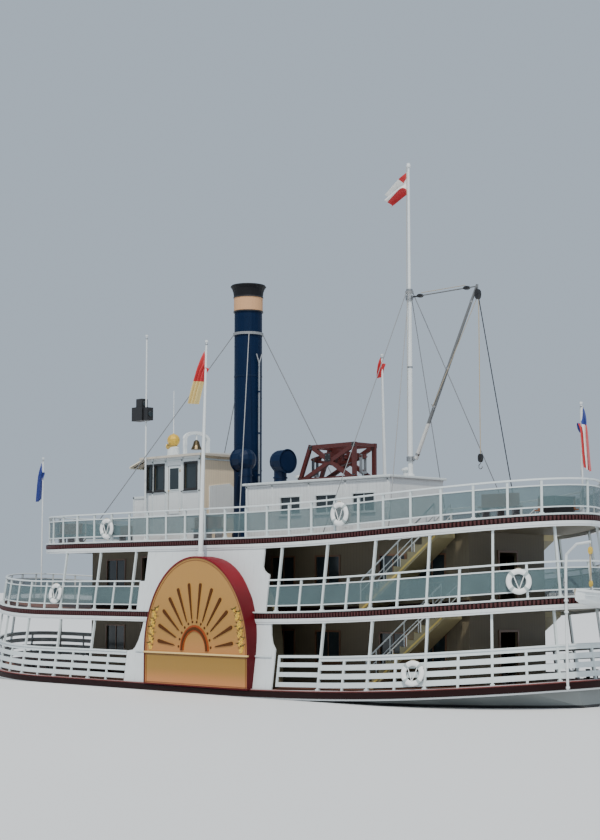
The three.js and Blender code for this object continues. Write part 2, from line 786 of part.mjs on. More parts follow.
function lowDeckhouse() {
  const { fore, aft, half, wall, top } = DECKHOUSE;
  const lid = 60;
  const walls = shell(aft, fore, half, wall, DECKS.top.z, top - 10).intersect(aboveTop);
  const roof = block(aft - 60, fore + 60, -half - 60, half + 60, top - lid, top);
  const slots = [-1, 1].map((end) => {
    const x = BEAM.x + end * BEAM.half;
    return block(x - 260, x + 260, -140, 140, top - 400, top + 100);
  });
  // Columns: aft end, forward end, sill and head above the top deck.
  const windows = holesIn(
    [
      [-6300, -5300, 900, 1500],
      [-4500, -3500, 900, 1500],
      [-2700, -1700, 900, 1500],
    ],
    DECKS.top.z,
  );
  return cut(walls.add(roof), [...slots, ...windows]);
}

function funnel() {
  const { x, radius, wall, top, crown, crownFoot, bandFoot } = FUNNEL;
  const foot = DECKS.top.z + GAP;
  const bore = radius - wall;
  return turned(
    x,
    0,
    [
      [bore, foot + 400],
      [bore, top - 20],
      [crown - 40, top],
      [crown, top - 50],
      [crown - 70, top - 150],
      [radius + 50, top - 280],
      [radius + 25, crownFoot],
      [radius + 25, bandFoot],
      [radius, bandFoot - 10],
      [radius, foot + 420],
      [radius + 60, foot + 300],
      [radius + 60, foot],
      [0, foot],
      [0, foot + 400],
      [bore, foot + 400],
    ],
    24,
  );
}

// Columns: name, x, y, foot height, height of the mouth's centre, pipe radius, mouth radius, facing (1 forward).
const COWLS = [
  ["cowl_fore", 695, 900, DECKS.top.z, 9520, 240, 430, 1],
  ["cowl_aft", -1165, 900, DECKHOUSE.top, 9340, 240, 430, -1],
];

function cowl(x, y, foot, mouthZ, pipe, mouth, facing) {
  const stem = rod([x, y, foot + GAP], [x, y, mouthZ], pipe, 12);
  const ball = new THREE.SphereGeometry(mouth, 12, 8);
  ball.scale(0.85, 1, 1);
  ball.translate(x, y, mouthZ);
  const throat = rod([x, y, mouthZ], [x + facing * mouth * 0.95, y, mouthZ], mouth, 12);
  const hollow = rod([x + facing * 40, y, mouthZ], [x + facing * mouth * 1.2, y, mouthZ], mouth - 40, 12);
  return cut(fuse([stem, solidOf(ball), throat]), [hollow]);
}

function gallows() {
  const { foreFoot, foreTop, aft, top, side, timber: t } = GALLOWS;
  const foot = DECKHOUSE.top + GAP;
  // Columns: x and z of one end, then of the other end.
  const members = [
    [foreFoot + 60, foot - 100, foreTop, top],
    [aft + t / 2, foot - 100, aft + t / 2, top],
    [foreTop, top - t / 2, aft, top - t / 2],
    [foreTop - 100, top - 100, aft + 80, foot],
    [foreFoot, foot, aft + 80, top - 100],
  ];
  const frames = [-side, side].flatMap((y) => members.map(([a, b, c, d]) => timber([a, b], [c, d], y, t * 0.7, t)));
  const sills = [-side, side].map((y) => block(aft, foreFoot, y - t / 2, y + t / 2, foot, foot + t));
  const ties = [
    [foreTop - 60, top - t / 2],
    [aft + 70, top - t / 2],
    [foreFoot - 90, foot + t / 2],
  ].map(([x, z]) => block(x - 60, x + 60, -side, side, z - 60, z + 60));
  const bearing = [-side, side].map((y) => block(BEAM.x - 170, BEAM.x + 170, y - 60, y + 60, BEAM.z - 170, BEAM.z + 170));
  const floor = block(-9000, 9000, -2000, 2000, 5000, foot);
  const pinHoles = rod([BEAM.x, -800, BEAM.z], [BEAM.x, 800, BEAM.z], 75, 16);
  return cut(fuse([...frames, ...sills, ...ties, ...bearing]), [floor, pinHoles]);
}

function walkingBeam() {
  const { x, z, half, height, width } = BEAM;
  const diamond = shapeOf([
    [x - half - 90, z - 70],
    [x, z - height / 2],
    [x + half + 90, z - 70],
    [x + half + 90, z + 70],
    [x, z + height / 2],
    [x - half - 90, z + 70],
  ]);
  const openings = [-1, 1].map((end) =>
    shapeOf([
      [x + end * 200, z - 160],
      [x + end * (half - 250), z - 30],
      [x + end * (half - 250), z + 30],
      [x + end * 200, z + 160],
    ]),
  );
  const pin = rod([x, -GALLOWS.side - 55, z], [x, GALLOWS.side + 55, z], 60, 16);
  const ends = [-1, 1].map((end) => rod([x + end * half, -200, z], [x + end * half, 200, z], 36, 12));
  const plate = cut(slab(diamond, -width / 2, width / 2), openings.map((shape) => slab(shape, -200, 200)));
  return fuse([plate, pin, ...ends]);
}

// A forked rod that hangs from one end of the beam.
function hangingRod(end) {
  const x = BEAM.x + end * BEAM.half;
  const foot = DECKHOUSE.top - 900;
  const cheeks = [-1, 1].map((s) => block(x - 60, x + 60, s * 110 - 20, s * 110 + 20, BEAM.z - 560, BEAM.z + 70));
  const bridge = block(x - 60, x + 60, -130, 130, BEAM.z - 620, BEAM.z - 540);
  const eye = rod([x, -300, BEAM.z], [x, 300, BEAM.z], 38, 12);
  return cut(fuse([...cheeks, bridge, rod([x, 0, foot], [x, 0, BEAM.z - 560], 40, 12)]), [eye]);
}

function mast() {
  const { x, top, collar, footRadius, topRadius } = MAST;
  return turned(
    x,
    0,
    [
      [0, DECKHOUSE.top + GAP],
      [footRadius + 50, DECKHOUSE.top + GAP],
      [footRadius + 50, DECKHOUSE.top + 80],
      [footRadius, DECKHOUSE.top + 110],
      [footRadius - 10, collar - 60],
      [footRadius + 10, collar - 50],
      [footRadius + 10, collar + 50],
      [topRadius + 15, collar + 80],
      [topRadius, top - 80],
      [topRadius + 20, top - 60],
      [topRadius + 20, top],
      [0, top],
    ],
    12,
  );
}

// A ring that turns round the mast without touching it.
function mastRing(z, height, bore, outer) {
  return turned(
    MAST.x,
    0,
    [
      [bore, z - height / 2],
      [outer, z - height / 2],
      [outer, z + height / 2],
      [bore, z + height / 2],
      [bore, z - height / 2],
    ],
    12,
  );
}

function boom() {
  const { heelOut, heelZ, tipX, tipZ, heelRadius, tipRadius } = BOOM;
  const bore = MAST.footRadius + 14;
  const heel = [MAST.x - heelOut, 0, heelZ];
  const tip = [tipX, 0, tipZ];
  const liftZ = MAST.collar - 210;
  const ring = mastRing(heelZ, 160, bore, bore + 40);
  const arm = block(MAST.x - heelOut - 40, MAST.x - bore - 20, -40, 40, heelZ - 50, heelZ + 50);
  const liftRing = mastRing(liftZ, 120, bore, bore + 36);
  const lift = rod([MAST.x - bore - 20, 0, liftZ], [tipX + 60, 0, tipZ - 60], 22, 8);
  return fuse([ring, arm, rod(heel, tip, heelRadius, 10, tipRadius), liftRing, lift]);
}

function pole(foot, top, radius, topRadius = radius * 0.7) {
  const cap = rod([top[0], top[1], top[2] - 60], top, topRadius + 25, 8);
  return rod(foot, top, radius, 8, topRadius).add(cap);
}

// Columns: name, foot, top, radius.
const POLES = [
  ["jackstaff", [14865, 0, DECKS.middle.z + sheer(14865) + 20], [14865, 0, 10460], 35],
  ["ensign_staff", [-13900, 0, DECKS.top.z + sheer(-13900) + 20], [-13900, 0, 10590], 35],
  ["pilothouse_pole", [5680, 1680, DECKS.top.z + 2], [5680, 1680, 14740], 40],
];

// The tapered poles on the paddle boxes lean inboard; columns: x, side, top
const BOX_POLES = [
  ["paddle_pole_port", -600, 1, 13580],
  ["paddle_pole_starboard", -1750, -1, 13800],
];
const BOX_POLE = { footY: 4300, topY: 4060, radius: 95, topRadius: 32 };

// Columns: aft and forward end, low and high y, low and high z of the dark lamp boxes on the pilothouse pole.
const LAMP_BOXES = [
  [5700, 6340, 1480, 1880, 11310, 11860],
  [5770, 6130, 1530, 1830, 11820, 12190],
  [5420, 5660, 1530, 1830, 11310, 11820],
];

function poles() {
  const lamps = LAMP_BOXES.map((sizes) => block(...sizes));
  POLES.forEach(([name, foot, top, radius]) => {
    const bare = pole(foot, top, radius);
    place(name, name === "pilothouse_pole" ? fuse([bare, ...lamps]) : bare, "white");
  });
  const arch = archShape(1, DECKS.main.z);
  BOX_POLES.forEach(([name, x, side, top]) => {
    const { footY, topY, radius, topRadius } = BOX_POLE;
    const bare = pole([x, side * footY, PADDLE.z + BOX.rise - 400], [x, side * topY, top], radius, topRadius);
    place(name, cut(bare, [slab(arch, -BOX.face - 100, BOX.face + 100, 48)]), "white");
  });
}

// Columns: name, x of the staff side, y, lowest z, highest z, length aft, thickness, colour.
const FLAGS = [
  ["jack_flag", 15000, 85, 8050, 9750, 330, 60, "blue"],
  ["ensign", -13950, 0, 8280, 10400, 380, 80, "red"],
  ["mast_pennant", MAST.x + 1000, 0, 18300, 19400, 930, 50, "red"],
  ["paddle_flag_port", 150, BOX_POLE.topY + 20, 11200, 13250, 700, 60, "red"],
  ["paddle_flag_starboard", -1450, -BOX_POLE.topY - 10, 12900, 13720, 250, 110, "red"],
];

function flags() {
  FLAGS.forEach(([name, x, y, low, high, length, thickness, look]) =>
    place(name, block(x - length, x, y - thickness / 2, y + thickness / 2, low, high), look),
  );
}

function belfry() {
  const { roof } = CABIN;
  const x = 4555;
  const foot = roof + 155;
  const posts = [-600, 600].map((y) => block(x - 60, x + 60, y - 60, y + 60, foot, foot + 700));
  const arch = new THREE.Shape();
  arch.absellipse(0, 0, 680, 330, 0, Math.PI, false);
  const inner = new THREE.Path();
  inner.absellipse(0, 0, 540, 210, 0, Math.PI, false);
  const bow = new THREE.ExtrudeGeometry(arch, { depth: 120, bevelEnabled: false, curveSegments: 8 });
  const gap = new THREE.ExtrudeGeometry(new THREE.Shape(inner.getPoints(8)), { depth: 300, bevelEnabled: false });
  [bow, gap].forEach((g) => {
    g.rotateX(Math.PI / 2);
    g.rotateZ(Math.PI / 2);
  });
  bow.translate(x - 60, 0, foot + 650);
  gap.translate(x - 150, 0, foot + 650);
  const bell = turned(x, 0, [
    [0, foot + 250],
    [230, foot + 250],
    [150, foot + 420],
    [110, foot + 580],
    [40, foot + 640],
    [40, foot + 900],
    [0, foot + 900],
  ], 12);
  return fuse([...posts, solidOf(bow).subtract(solidOf(gap)), bell]);
}

// A gilded ball with a thin rod above it, on a white pedestal over the front of the pilothouse roof.
function signalBall() {
  const foot = CABIN.roof + 150 + GAP;
  const [ball, radius, stalk] = [10650, 262, 22];
  const arc = steps(-64, 84, 8).map((angle) => {
    const a = (angle * Math.PI) / 180;
    return [radius * Math.cos(a), ball + radius * Math.sin(a)];
  });
  return turned(
    CABIN.fore - 50,
    0,
    [[0, foot], [270, foot], [240, 10340], [170, 10400], ...arc, [stalk, 10930], [stalk - 8, 12670], [0, 12670]],
    16,
  );
}

function dinghy() {
  const { x, z, length, beam, depth, skin } = DINGHY;
  // Columns: share of the half length, share of the beam, rise of the sheer, rise of the bottom.
  const sections = [
    [-1, 0.62, 30, 120],
    [-0.6, 0.92, 0, 30],
    [0, 1, 0, 0],
    [0.6, 0.8, 30, 40],
    [0.9, 0.35, 90, 160],
    [1, 0.06, 120, 260],
  ];
  const form = (inset) =>
    loft(
      sections.map(([along, wide, rise, lift]) => {
        const y = along * (length / 2 - inset);
        const half = Math.max(8, (wide * beam) / 2 - inset);
        const top = z + depth + rise + (inset ? 200 : 0);
        const bottom = z + lift + inset;
        return [
          [x - half, y, top],
          [x - half * 0.75, y, bottom + depth * 0.25],
          [x, y, bottom],
          [x + half * 0.75, y, bottom + depth * 0.25],
          [x + half, y, top],
        ];
      }),
    );
  const ends = [-DAVIT.y, DAVIT.y];
  const thwarts = ends.map((y) => block(x - 440, x + 440, y - 110, y + 110, z + 300, z + 340));
  const falls = ends.map((y) => rod([x, y, z + 320], [x, y, DAVIT.tip - DAVIT.radius - 8], 18, 6));
  return fuse([form(0).subtract(form(skin)), ...thwarts, ...falls]);
}

function davit(y) {
  const { x, foot, knee, tip, radius } = DAVIT;
  const bend = new THREE.Vector3(x, y, knee);
  const path = new THREE.CurvePath();
  path.add(new THREE.LineCurve3(new THREE.Vector3(x, y, foot), bend));
  path.add(new THREE.QuadraticBezierCurve3(bend, new THREE.Vector3(x, y, tip), new THREE.Vector3(DINGHY.x, y, tip)));
  const section = new THREE.Shape();
  section.absarc(0, 0, radius, 0, 2 * Math.PI, false);
  return outwardFrom(
    new THREE.ExtrudeGeometry(section, { steps: 10, extrudePath: path, curveSegments: 4, bevelEnabled: false }),
  );
}

function gate() {
  const deck = DECKS.main;
  const [x0, x1] = [GATE.aft + 20, GATE.fore - 20];
  const outer = deck.half - RAIL_INSET - 130;
  const leaning = (a, b, low, high) =>
    loft(
      [a, b].map((x) => [
        [x, outer - LEAN * low, deck.z + sheer(x) + low],
        [x, outer - LEAN * high, deck.z + sheer(x) + high],
        [x, outer - LEAN * high - 45, deck.z + sheer(x) + high],
        [x, outer - LEAN * low - 45, deck.z + sheer(x) + low],
      ]),
    );
  const lift = 40;
  const bars = BOARDED.map(([low, high]) => leaning(x0, x1, low + lift, high + lift - 10));
  const stiles = [x0, x1 - 80].map((x) => leaning(x, x + 80, 90, RAIL_HEIGHT + lift - 10));
  return fuse([...bars, ...stiles]);
}

function stay(collar, end, radius = 18) {
  return rod(collar, end, radius, 6);
}

function funnelStays() {
  const z = 14480;
  const [bore, outer] = [FUNNEL.radius + 3, FUNNEL.radius + 53];
  const ring = turned(
    FUNNEL.x,
    0,
    [
      [bore, z - 50],
      [outer, z - 50],
      [outer, z + 50],
      [bore, z + 50],
      [bore, z - 50],
    ],
    24,
  );
  // Columns: direction of the eye on the ring in degrees, then the foot.
  const feet = [
    [40, [7600, 3250, DECKS.top.z + 20]],
    [-40, [7600, -3250, DECKS.top.z + 20]],
    [140, [-1500, 3300, DECKS.top.z + 20]],
    [-140, [-1500, -3300, DECKS.top.z + 20]],
  ];
  const lines = feet.map(([angle, foot]) => {
    const a = (angle * Math.PI) / 180;
    const eye = (bore + outer) / 2;
    return stay([FUNNEL.x + eye * Math.cos(a), eye * Math.sin(a), z], foot);
  });
  return fuse([ring, ...lines]);
}

function mastStays() {
  const z = MAST.collar - 20;
  const bore = MAST.footRadius + 13;
  const ring = mastRing(z, 80, bore, bore + 44);
  const feet = [
    [-5700, 3300],
    [-5700, -3300],
    [-8700, 3350],
    [-8700, -3350],
  ];
  const lines = feet.map(([x, y]) => {
    const a = Math.atan2(y, x - MAST.x);
    const eye = [MAST.x + (bore + 22) * Math.cos(a), (bore + 22) * Math.sin(a), z];
    return stay(eye, [x, y, DECKS.top.z + sheer(x) + 30], 15);
  });
  return fuse([ring, ...lines]);
}

// The boat

place("hull", hull(), "hull");
place("main_deck", mainDeck(), "deck");
place("middle_deck", middleDeck(), "deck");
place("top_deck", topDeck(), "deck");
mainRails();
middleRails();
topRail();
deckHouses();
STAIRWAYS.forEach((stair) =>
  SIDES.forEach(({ name, flip }) => {
    place("stairs_to_" + stair.to + "_" + name, flip(staircase(stair)), "white");
  }),
);
paddles();
machinery();
place("rudder", rudder(), "oxide");
place("pilothouse", pilothouse(), "white");
place("pilothouse_roof", cabinRoof(), "white");
place("deckhouse", lowDeckhouse(), "white");
place("funnel", funnel(), "navy");
COWLS.forEach(([name, ...sizes]) => place(name, cowl(...sizes), "navy"));
place("gallows_frame", gallows(), "oxide");
place("walking_beam", walkingBeam(), "oxide");
place("crank_rod", hangingRod(1), "steel");
place("piston_rod", hangingRod(-1), "steel");
place("mast", mast(), "white");
place("boom", boom(), "white");
place("mast_stays", mastStays(), "steel");
place("funnel_stays", funnelStays(), "steel");
poles();
flags();
place("belfry", belfry(), "white");
place("signal_ball", signalBall(), "brass");
place("dinghy", dinghy(), "white");
place("davit_port", davit(DAVIT.y), "white");
place("davit_starboard", davit(-DAVIT.y), "white");
SIDES.forEach(({ name, flip }) => {
  place("gate_" + name, flip(gate()), "white");
  place("house_door_" + name, flip(doorLeaf(DECKS.main.z)), "door");
  place("pilothouse_door_" + name, flip(cabinDoor()), "door");
});

export default boat;
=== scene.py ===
import json
import math

import bpy
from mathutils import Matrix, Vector

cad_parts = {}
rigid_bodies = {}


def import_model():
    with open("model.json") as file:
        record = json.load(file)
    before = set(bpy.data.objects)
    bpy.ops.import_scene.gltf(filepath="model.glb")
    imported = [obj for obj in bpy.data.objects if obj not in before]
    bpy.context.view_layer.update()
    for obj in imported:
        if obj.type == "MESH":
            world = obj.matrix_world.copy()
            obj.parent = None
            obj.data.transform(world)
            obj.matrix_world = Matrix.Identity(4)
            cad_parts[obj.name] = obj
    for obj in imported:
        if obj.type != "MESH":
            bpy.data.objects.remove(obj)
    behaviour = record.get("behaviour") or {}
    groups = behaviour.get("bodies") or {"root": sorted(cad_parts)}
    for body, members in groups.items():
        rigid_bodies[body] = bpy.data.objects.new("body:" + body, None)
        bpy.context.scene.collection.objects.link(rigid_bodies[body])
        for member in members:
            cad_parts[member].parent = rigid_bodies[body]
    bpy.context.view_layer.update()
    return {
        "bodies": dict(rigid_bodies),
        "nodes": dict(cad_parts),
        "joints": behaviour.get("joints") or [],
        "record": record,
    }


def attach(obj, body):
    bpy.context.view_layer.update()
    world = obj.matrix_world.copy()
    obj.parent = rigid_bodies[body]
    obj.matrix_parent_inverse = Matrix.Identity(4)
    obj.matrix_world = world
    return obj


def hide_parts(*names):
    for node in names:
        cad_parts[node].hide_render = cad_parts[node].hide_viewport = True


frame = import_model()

NODES = frame["nodes"]
SIDES = (("port", 1), ("starboard", -1))
UP = Vector((0, 0, 1))

# Driving dimensions, the same as the solids have
WATERLINE = 1.05
DECK_DEPTH = 0.3
LEAN = 0.14
DECKS = {
    "main": dict(z=1.315, half=4.48, bow=15.685, bow_run=6.21, stern=-14.355, stern_run=5.96),
    "middle": dict(z=3.89, half=4.12, bow=15.5, bow_run=6.1, stern=-14.3, stern_run=5.96),
    "top": dict(z=6.468, half=3.76, bow=12.235, bow_run=4.825, stern=-14.175, stern_run=5.96),
}
SHEER_AFT = dict(start=-1.665, end=-14.6, rise=0.639)
SHEER_FORE = dict(start=8.335, end=15.9, rise=0.395)
PADDLE = dict(x=-0.67, z=2.53, half=2.73, rise=3.27, face=4.6)


# Mesh building


def circle(count, shift=0.0):
    return [2 * math.pi * (k + shift) / count for k in range(count)]


def rectangle(a, b, low, high):
    return [(a, low), (b, low), (b, high), (a, high)]


def link(name, data):
    thing = bpy.data.objects.new(name, data)
    bpy.context.scene.collection.objects.link(thing)
    return thing


class Build:
    """Gathers faces, each with the name of its look, then makes one object of them."""

    def __init__(self):
        self.points, self.faces, self.looks = [], [], []

    def add(self, look, points, faces):
        first = len(self.points)
        self.points += [tuple(p) for p in points]
        self.faces += [tuple(first + i for i in face) for face in faces]
        self.looks += [look] * len(faces)

    def loft(self, look, rings, closed=False):
        """Skins rings of equal length; a closed loft joins last to first, an open one is capped."""
        count, sides = len(rings), len(rings[0])
        faces = []
        for i in range(count if closed else count - 1):
            a, b = i * sides, (i + 1) % count * sides
            for j in range(sides):
                k = (j + 1) % sides
                faces.append((a + j, a + k, b + k, b + j))
        if not closed:
            faces.append(tuple(reversed(range(sides))))
            faces.append(tuple(range((count - 1) * sides, count * sides)))
        self.add(look, [p for ring in rings for p in ring], faces)

    def box(self, look, corner, opposite):
        (x0, x1), (y0, y1), (z0, z1) = (sorted(pair) for pair in zip(corner, opposite))
        self.loft(look, [[(x0, y0, z), (x1, y0, z), (x1, y1, z), (x0, y1, z)] for z in (z0, z1)])

    def plate(self, look, outline, y0, y1):
        """A flat piece with an outline of (x, z) pairs between two values of y."""
        self.loft(look, [[(x, y, z) for x, z in outline] for y in (y0, y1)])

    def bar(self, look, p, q, width, depth):
        """A rectangular bar that keeps its y from p to q, width across the boat."""
        p, q, side = Vector(p), Vector(q), Vector((0, width / 2, 0))
        up = (q - p).cross(side).normalized() * (depth / 2)
        self.loft(look, [[c - side - up, c + side - up, c + side + up, c - side + up] for c in (p, q)])

    def tube(self, look, path, radius, sides):
        """A round tube along a path; radius is a number or one per point."""
        path = [Vector(p) for p in path]
        radii = radius if hasattr(radius, "__len__") else [radius] * len(path)
        rings = []
        side = None
        for i, p in enumerate(path):
            along = (path[min(i + 1, len(path) - 1)] - path[max(i - 1, 0)]).normalized()
            if side is None:
                side = along.cross(UP if abs(along.z) < 0.9 else Vector((1, 0, 0))).normalized()
            side = (side - along * side.dot(along)).normalized()
            up = along.cross(side)
            rings.append([p + (side * math.cos(t) + up * math.sin(t)) * radii[i] for t in circle(sides)])
        self.loft(look, rings)

    def lathe(self, look, centre, profile, sides, axis="Z"):
        """Turns (radius, height) pairs about an axis through centre; the ends are capped."""
        place = {
            "Z": lambda r, h, t: (r * math.cos(t), r * math.sin(t), h),
            "X": lambda r, h, t: (h, r * math.cos(t), r * math.sin(t)),
            "Y": lambda r, h, t: (r * math.sin(t), h, r * math.cos(t)),
        }[axis]
        centre, turn = Vector(centre), circle(sides)
        self.loft(look, [[centre + Vector(place(max(r, 1e-4), h, t)) for t in turn] for r, h in profile])

    def object(self, name, body="boat", bevel=0, crease=35, replaces=()):
        names = sorted(set(self.looks))
        mesh = bpy.data.meshes.new(name)
        mesh.from_pydata(self.points, [], self.faces)
        for look in names:
            mesh.materials.append(LOOKS[look])
        mesh.polygons.foreach_set("material_index", [names.index(look) for look in self.looks])
        mesh.validate()
        mesh.polygons.foreach_set("use_smooth", [True] * len(mesh.polygons))
        if crease:
            mesh.set_sharp_from_angle(angle=math.radians(crease))
        piece = link(name, mesh)
        if bevel:
            edge = piece.modifiers.new("edges", "BEVEL")
            edge.width = bevel
            edge.segments = 2
            edge.limit_method = "ANGLE"
            edge.angle_limit = math.radians(40)
        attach(piece, body)
        if replaces:
            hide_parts(*replaces)
        return piece


def single(name, body="boat", bevel=0):
    """Runs the function below it on a new Build and makes one object of what it draws."""
    def run(draw):
        build = Build()
        draw(build)
        build.object(name, body, bevel)
    return run


# Deck outlines and sheer


def sheer(x):
    run = SHEER_AFT if x < SHEER_AFT["start"] else SHEER_FORE
    share = (x - run["start"]) / (run["end"] - run["start"])
    return run["rise"] * share**2 if share > 0 else 0.0


def centres(deck):
    """Where the rounded bow and stern of a deck begin."""
    return deck["bow"] - deck["bow_run"], deck["stern"] + deck["stern_run"]


def edge_ring(deck, quarter=22, straight=0.6):
    """Points (x, y, outward x, outward y) once round a deck, from the bow down the port side."""
    half = deck["half"]
    bow_centre, stern_centre = centres(deck)
    ring = []

    def end(centre, run, first, count):
        for k in range(count):
            a = first + math.pi / 2 * k / quarter
            nx, ny = math.cos(a) / run, math.sin(a) / half
            size = math.hypot(nx, ny)
            ring.append((centre + run * math.cos(a), half * math.sin(a), nx / size, ny / size))

    def side(x0, x1, sign):
        count = max(2, round(abs(x1 - x0) / straight))
        ring.extend((x0 + (x1 - x0) * k / count, sign * half, 0.0, sign) for k in range(1, count))

    end(bow_centre, deck["bow_run"], 0, quarter + 1)
    side(bow_centre, stern_centre, 1.0)
    end(stern_centre, deck["stern_run"], math.pi / 2, 2 * quarter + 1)
    side(stern_centre, bow_centre, -1.0)
    end(bow_centre, deck["bow_run"], -math.pi / 2, quarter)
    return ring


def edge_run(deck, x_end, aft):
    """The part of the ring that lies aft (or forward) of x_end, with its two ends exactly there."""
    ring, half = edge_ring(deck), deck["half"]
    if aft:
        inside = [p for p in ring if p[0] < x_end - 0.02]
        return [(x_end, half, 0.0, 1.0)] + inside + [(x_end, -half, 0.0, -1.0)]
    turn = len(ring) // 2
    inside = [p for p in ring[turn:] + ring[:turn] if p[0] > x_end + 0.02]
    return [(x_end, -half, 0.0, -1.0)] + inside + [(x_end, half, 0.0, 1.0)]


class Edge:
    """A deck's edge, whole or in part; what stands on it leans inward by lean per metre of height."""

    def __init__(self, deck, path, closed, lean=0.0):
        self.deck, self.path, self.closed, self.lean = deck, path, closed, lean
        self.loop = path + path[:1] if closed else path
        self.gone = [0.0]
        for a, b in zip(self.loop, self.loop[1:]):
            self.gone.append(self.gone[-1] + math.hypot(b[0] - a[0], b[1] - a[1]))

    def at(self, want):
        """The point at a distance along the edge."""
        gone = self.gone
        i = max(1, next((k for k, d in enumerate(gone) if d >= want), len(gone) - 1))
        share = (want - gone[i - 1]) / max(gone[i] - gone[i - 1], 1e-9)
        x, y, nx, ny = (a * (1 - share) + b * share for a, b in zip(self.loop[i - 1], self.loop[i]))
        size = math.hypot(nx, ny)
        return x, y, nx / size, ny / size

    def place(self, point, out, height):
        """A place at a height above the deck, out metres outward of its edge."""
        x, y, nx, ny = point
        shift = out - self.lean * max(height, 0)
        return (x + nx * shift, y + ny * shift, self.deck["z"] + sheer(x) + height)

    def band(self, build, look, section):
        """Sweeps a section of (out, height) pairs along the edge."""
        build.loft(look, [[self.place(p, out, h) for out, h in section] for p in self.path], self.closed)


# Materials


class Tree:
    """The nodes of a material; a value given to a node is a number, a colour or another node's output."""

    def __init__(self, look):
        self.look, self.nodes, self.links = look, look.node_tree.nodes, look.node_tree.links
        self.shader = self.nodes["Principled BSDF"]
        self.where = self.node("TexCoord", "Object", {})

    def feed(self, node, values):
        for plug, value in values.items():
            if isinstance(value, bpy.types.NodeSocket):
                self.links.new(value, node.inputs[plug])
            else:
                node.inputs[plug].default_value = value

    def node(self, kind, output, values, **settings):
        node = self.nodes.new("ShaderNode" + kind)
        for name, setting in settings.items():
            setattr(node, name, setting)
        self.feed(node, values)
        return node.outputs[output]

    def noise(self, scale, **values):
        return self.node("TexNoise", "Fac", {"Vector": self.where, "Scale": scale, **values})

    def maths(self, operation, *values):
        return self.node("Math", "Value", dict(enumerate(values)), operation=operation)

    def mix(self, share, a, b):
        return self.node("Mix", 2, {"Factor": share, 6: a, 7: b}, data_type="RGBA")

    def spread(self, value, low, high):
        limits = {"To Min": max(0.02, low), "To Max": min(1.0, high)}
        return self.node("MapRange", "Result", {"Value": value, **limits})

    def ramp(self, value, low, high):
        return self.node("MapRange", "Result", {"Value": value, "From Min": low, "From Max": high},
                         interpolation_type="SMOOTHSTEP")

    def part(self, axis):
        return self.node("SeparateXYZ", axis, {"Vector": self.where})

    def groove(self, axis, spacing, width):
        """1 in a narrow line at every spacing along an axis, 0 between."""
        return self.ramp(self.maths("PINGPONG", self.part(axis), spacing / 2), width, width * 0.4)

    def relief(self, height, strength, distance):
        return self.node("Bump", "Normal", {"Strength": strength, "Distance": distance, "Height": height})

    def old_colour(self):
        return self.shader.inputs["Base Color"].links[0].from_socket


def new_tree(name):
    look = bpy.data.materials.new(name)
    look.use_nodes = True
    return Tree(look)


def scaled(colour, by=1):
    return tuple(min(1.0, c * by) for c in colour) + (1.0,)


def paint(name, colour, rough=0.5, metal=0.0, shade=0.12, grain=3.0, streak=0.0, grooves=None,
          bump=0.15, coat=0.0, shine=0.5):
    """A worn finish: cloudy shade, rain streaks, optional grooves as (axis, spacing, width)."""
    tree = new_tree(name)
    cloud = height = tree.noise(grain, Detail=6, Roughness=0.65)
    tone = tree.mix(cloud, scaled(colour, 1 - shade), scaled(colour, 1 + shade * 0.4))
    if streak:
        tall = tree.node("Mapping", "Vector", {"Vector": tree.where, "Scale": (9, 9, 0.7)})
        rain = tree.ramp(tree.noise(1.6, Detail=4, Vector=tall), 0.52, 0.75)
        tone = tree.mix(tree.maths("MULTIPLY", rain, streak), tone, scaled(colour, 0.55))
    if grooves:
        line = tree.groove(*grooves)
        tone = tree.mix(tree.maths("MULTIPLY", line, 0.55), tone, scaled(colour, 0.4))
        height = tree.maths("MULTIPLY_ADD", line, -2.5, height)
    tree.feed(tree.shader, {
        "Base Color": tone, "Roughness": tree.spread(cloud, rough - 0.12, rough + 0.12), "Metallic": metal,
        "Coat Weight": coat, "Specular IOR Level": shine, "Normal": tree.relief(height, bump, 0.01)})
    return tree.look


def layered(look, *steps):
    """Changes the base colour with height: each step is (height where it starts, colour)."""
    tree = Tree(look)
    tone, height = tree.old_colour(), tree.part("Z")
    for start, colour in steps:
        tone = tree.mix(tree.maths("GREATER_THAN", height, start), tone, scaled(colour))
    tree.feed(tree.shader, {"Base Color": tone})
    return look


def blended(look, *stops):
    """Blends the base colour smoothly through (height, colour) stops, keeping the paint's own clouding."""
    tree = Tree(look)
    height, tone = tree.part("Z"), scaled(stops[0][1])
    for (low, _), (high, colour) in zip(stops, stops[1:]):
        tone = tree.mix(tree.ramp(height, low, high), tone, scaled(colour))
    tree.feed(tree.shader, {"Base Color": tree.mix(0.72, tree.old_colour(), tone)})
    return look


def clear_pane(name, colour, alpha, rough=0.08):
    tree = new_tree(name)
    cloud = tree.noise(1.3)
    tree.feed(tree.shader, {"Base Color": tree.mix(cloud, scaled(colour, 0.8), scaled(colour, 1.15)),
                            "Roughness": tree.spread(cloud, rough, rough + 0.12), "Alpha": alpha})
    return tree.look


def cloth(name, colour):
    """Woven cloth, with a fine weave in its relief."""
    tree = new_tree(name)
    tree.feed(tree.shader, {
        "Base Color": tree.mix(tree.noise(4), scaled(colour, 0.85), scaled(colour, 1.1)), "Sheen Weight": 0.3,
        "Roughness": 0.85, "Normal": tree.relief(tree.noise(900), 0.2, 0.002)})
    return tree.look


# White paint, darkened and tinted grey-blue: a painted sky shade over all the white, as on the shaded side.
SHADED_WHITE = (0.69, 0.725, 0.73)
SHADED_CREAM = (0.13, 0.11, 0.070)
NAVY = (0.0010, 0.011, 0.040)
BLACK = (0.012, 0.012, 0.014)

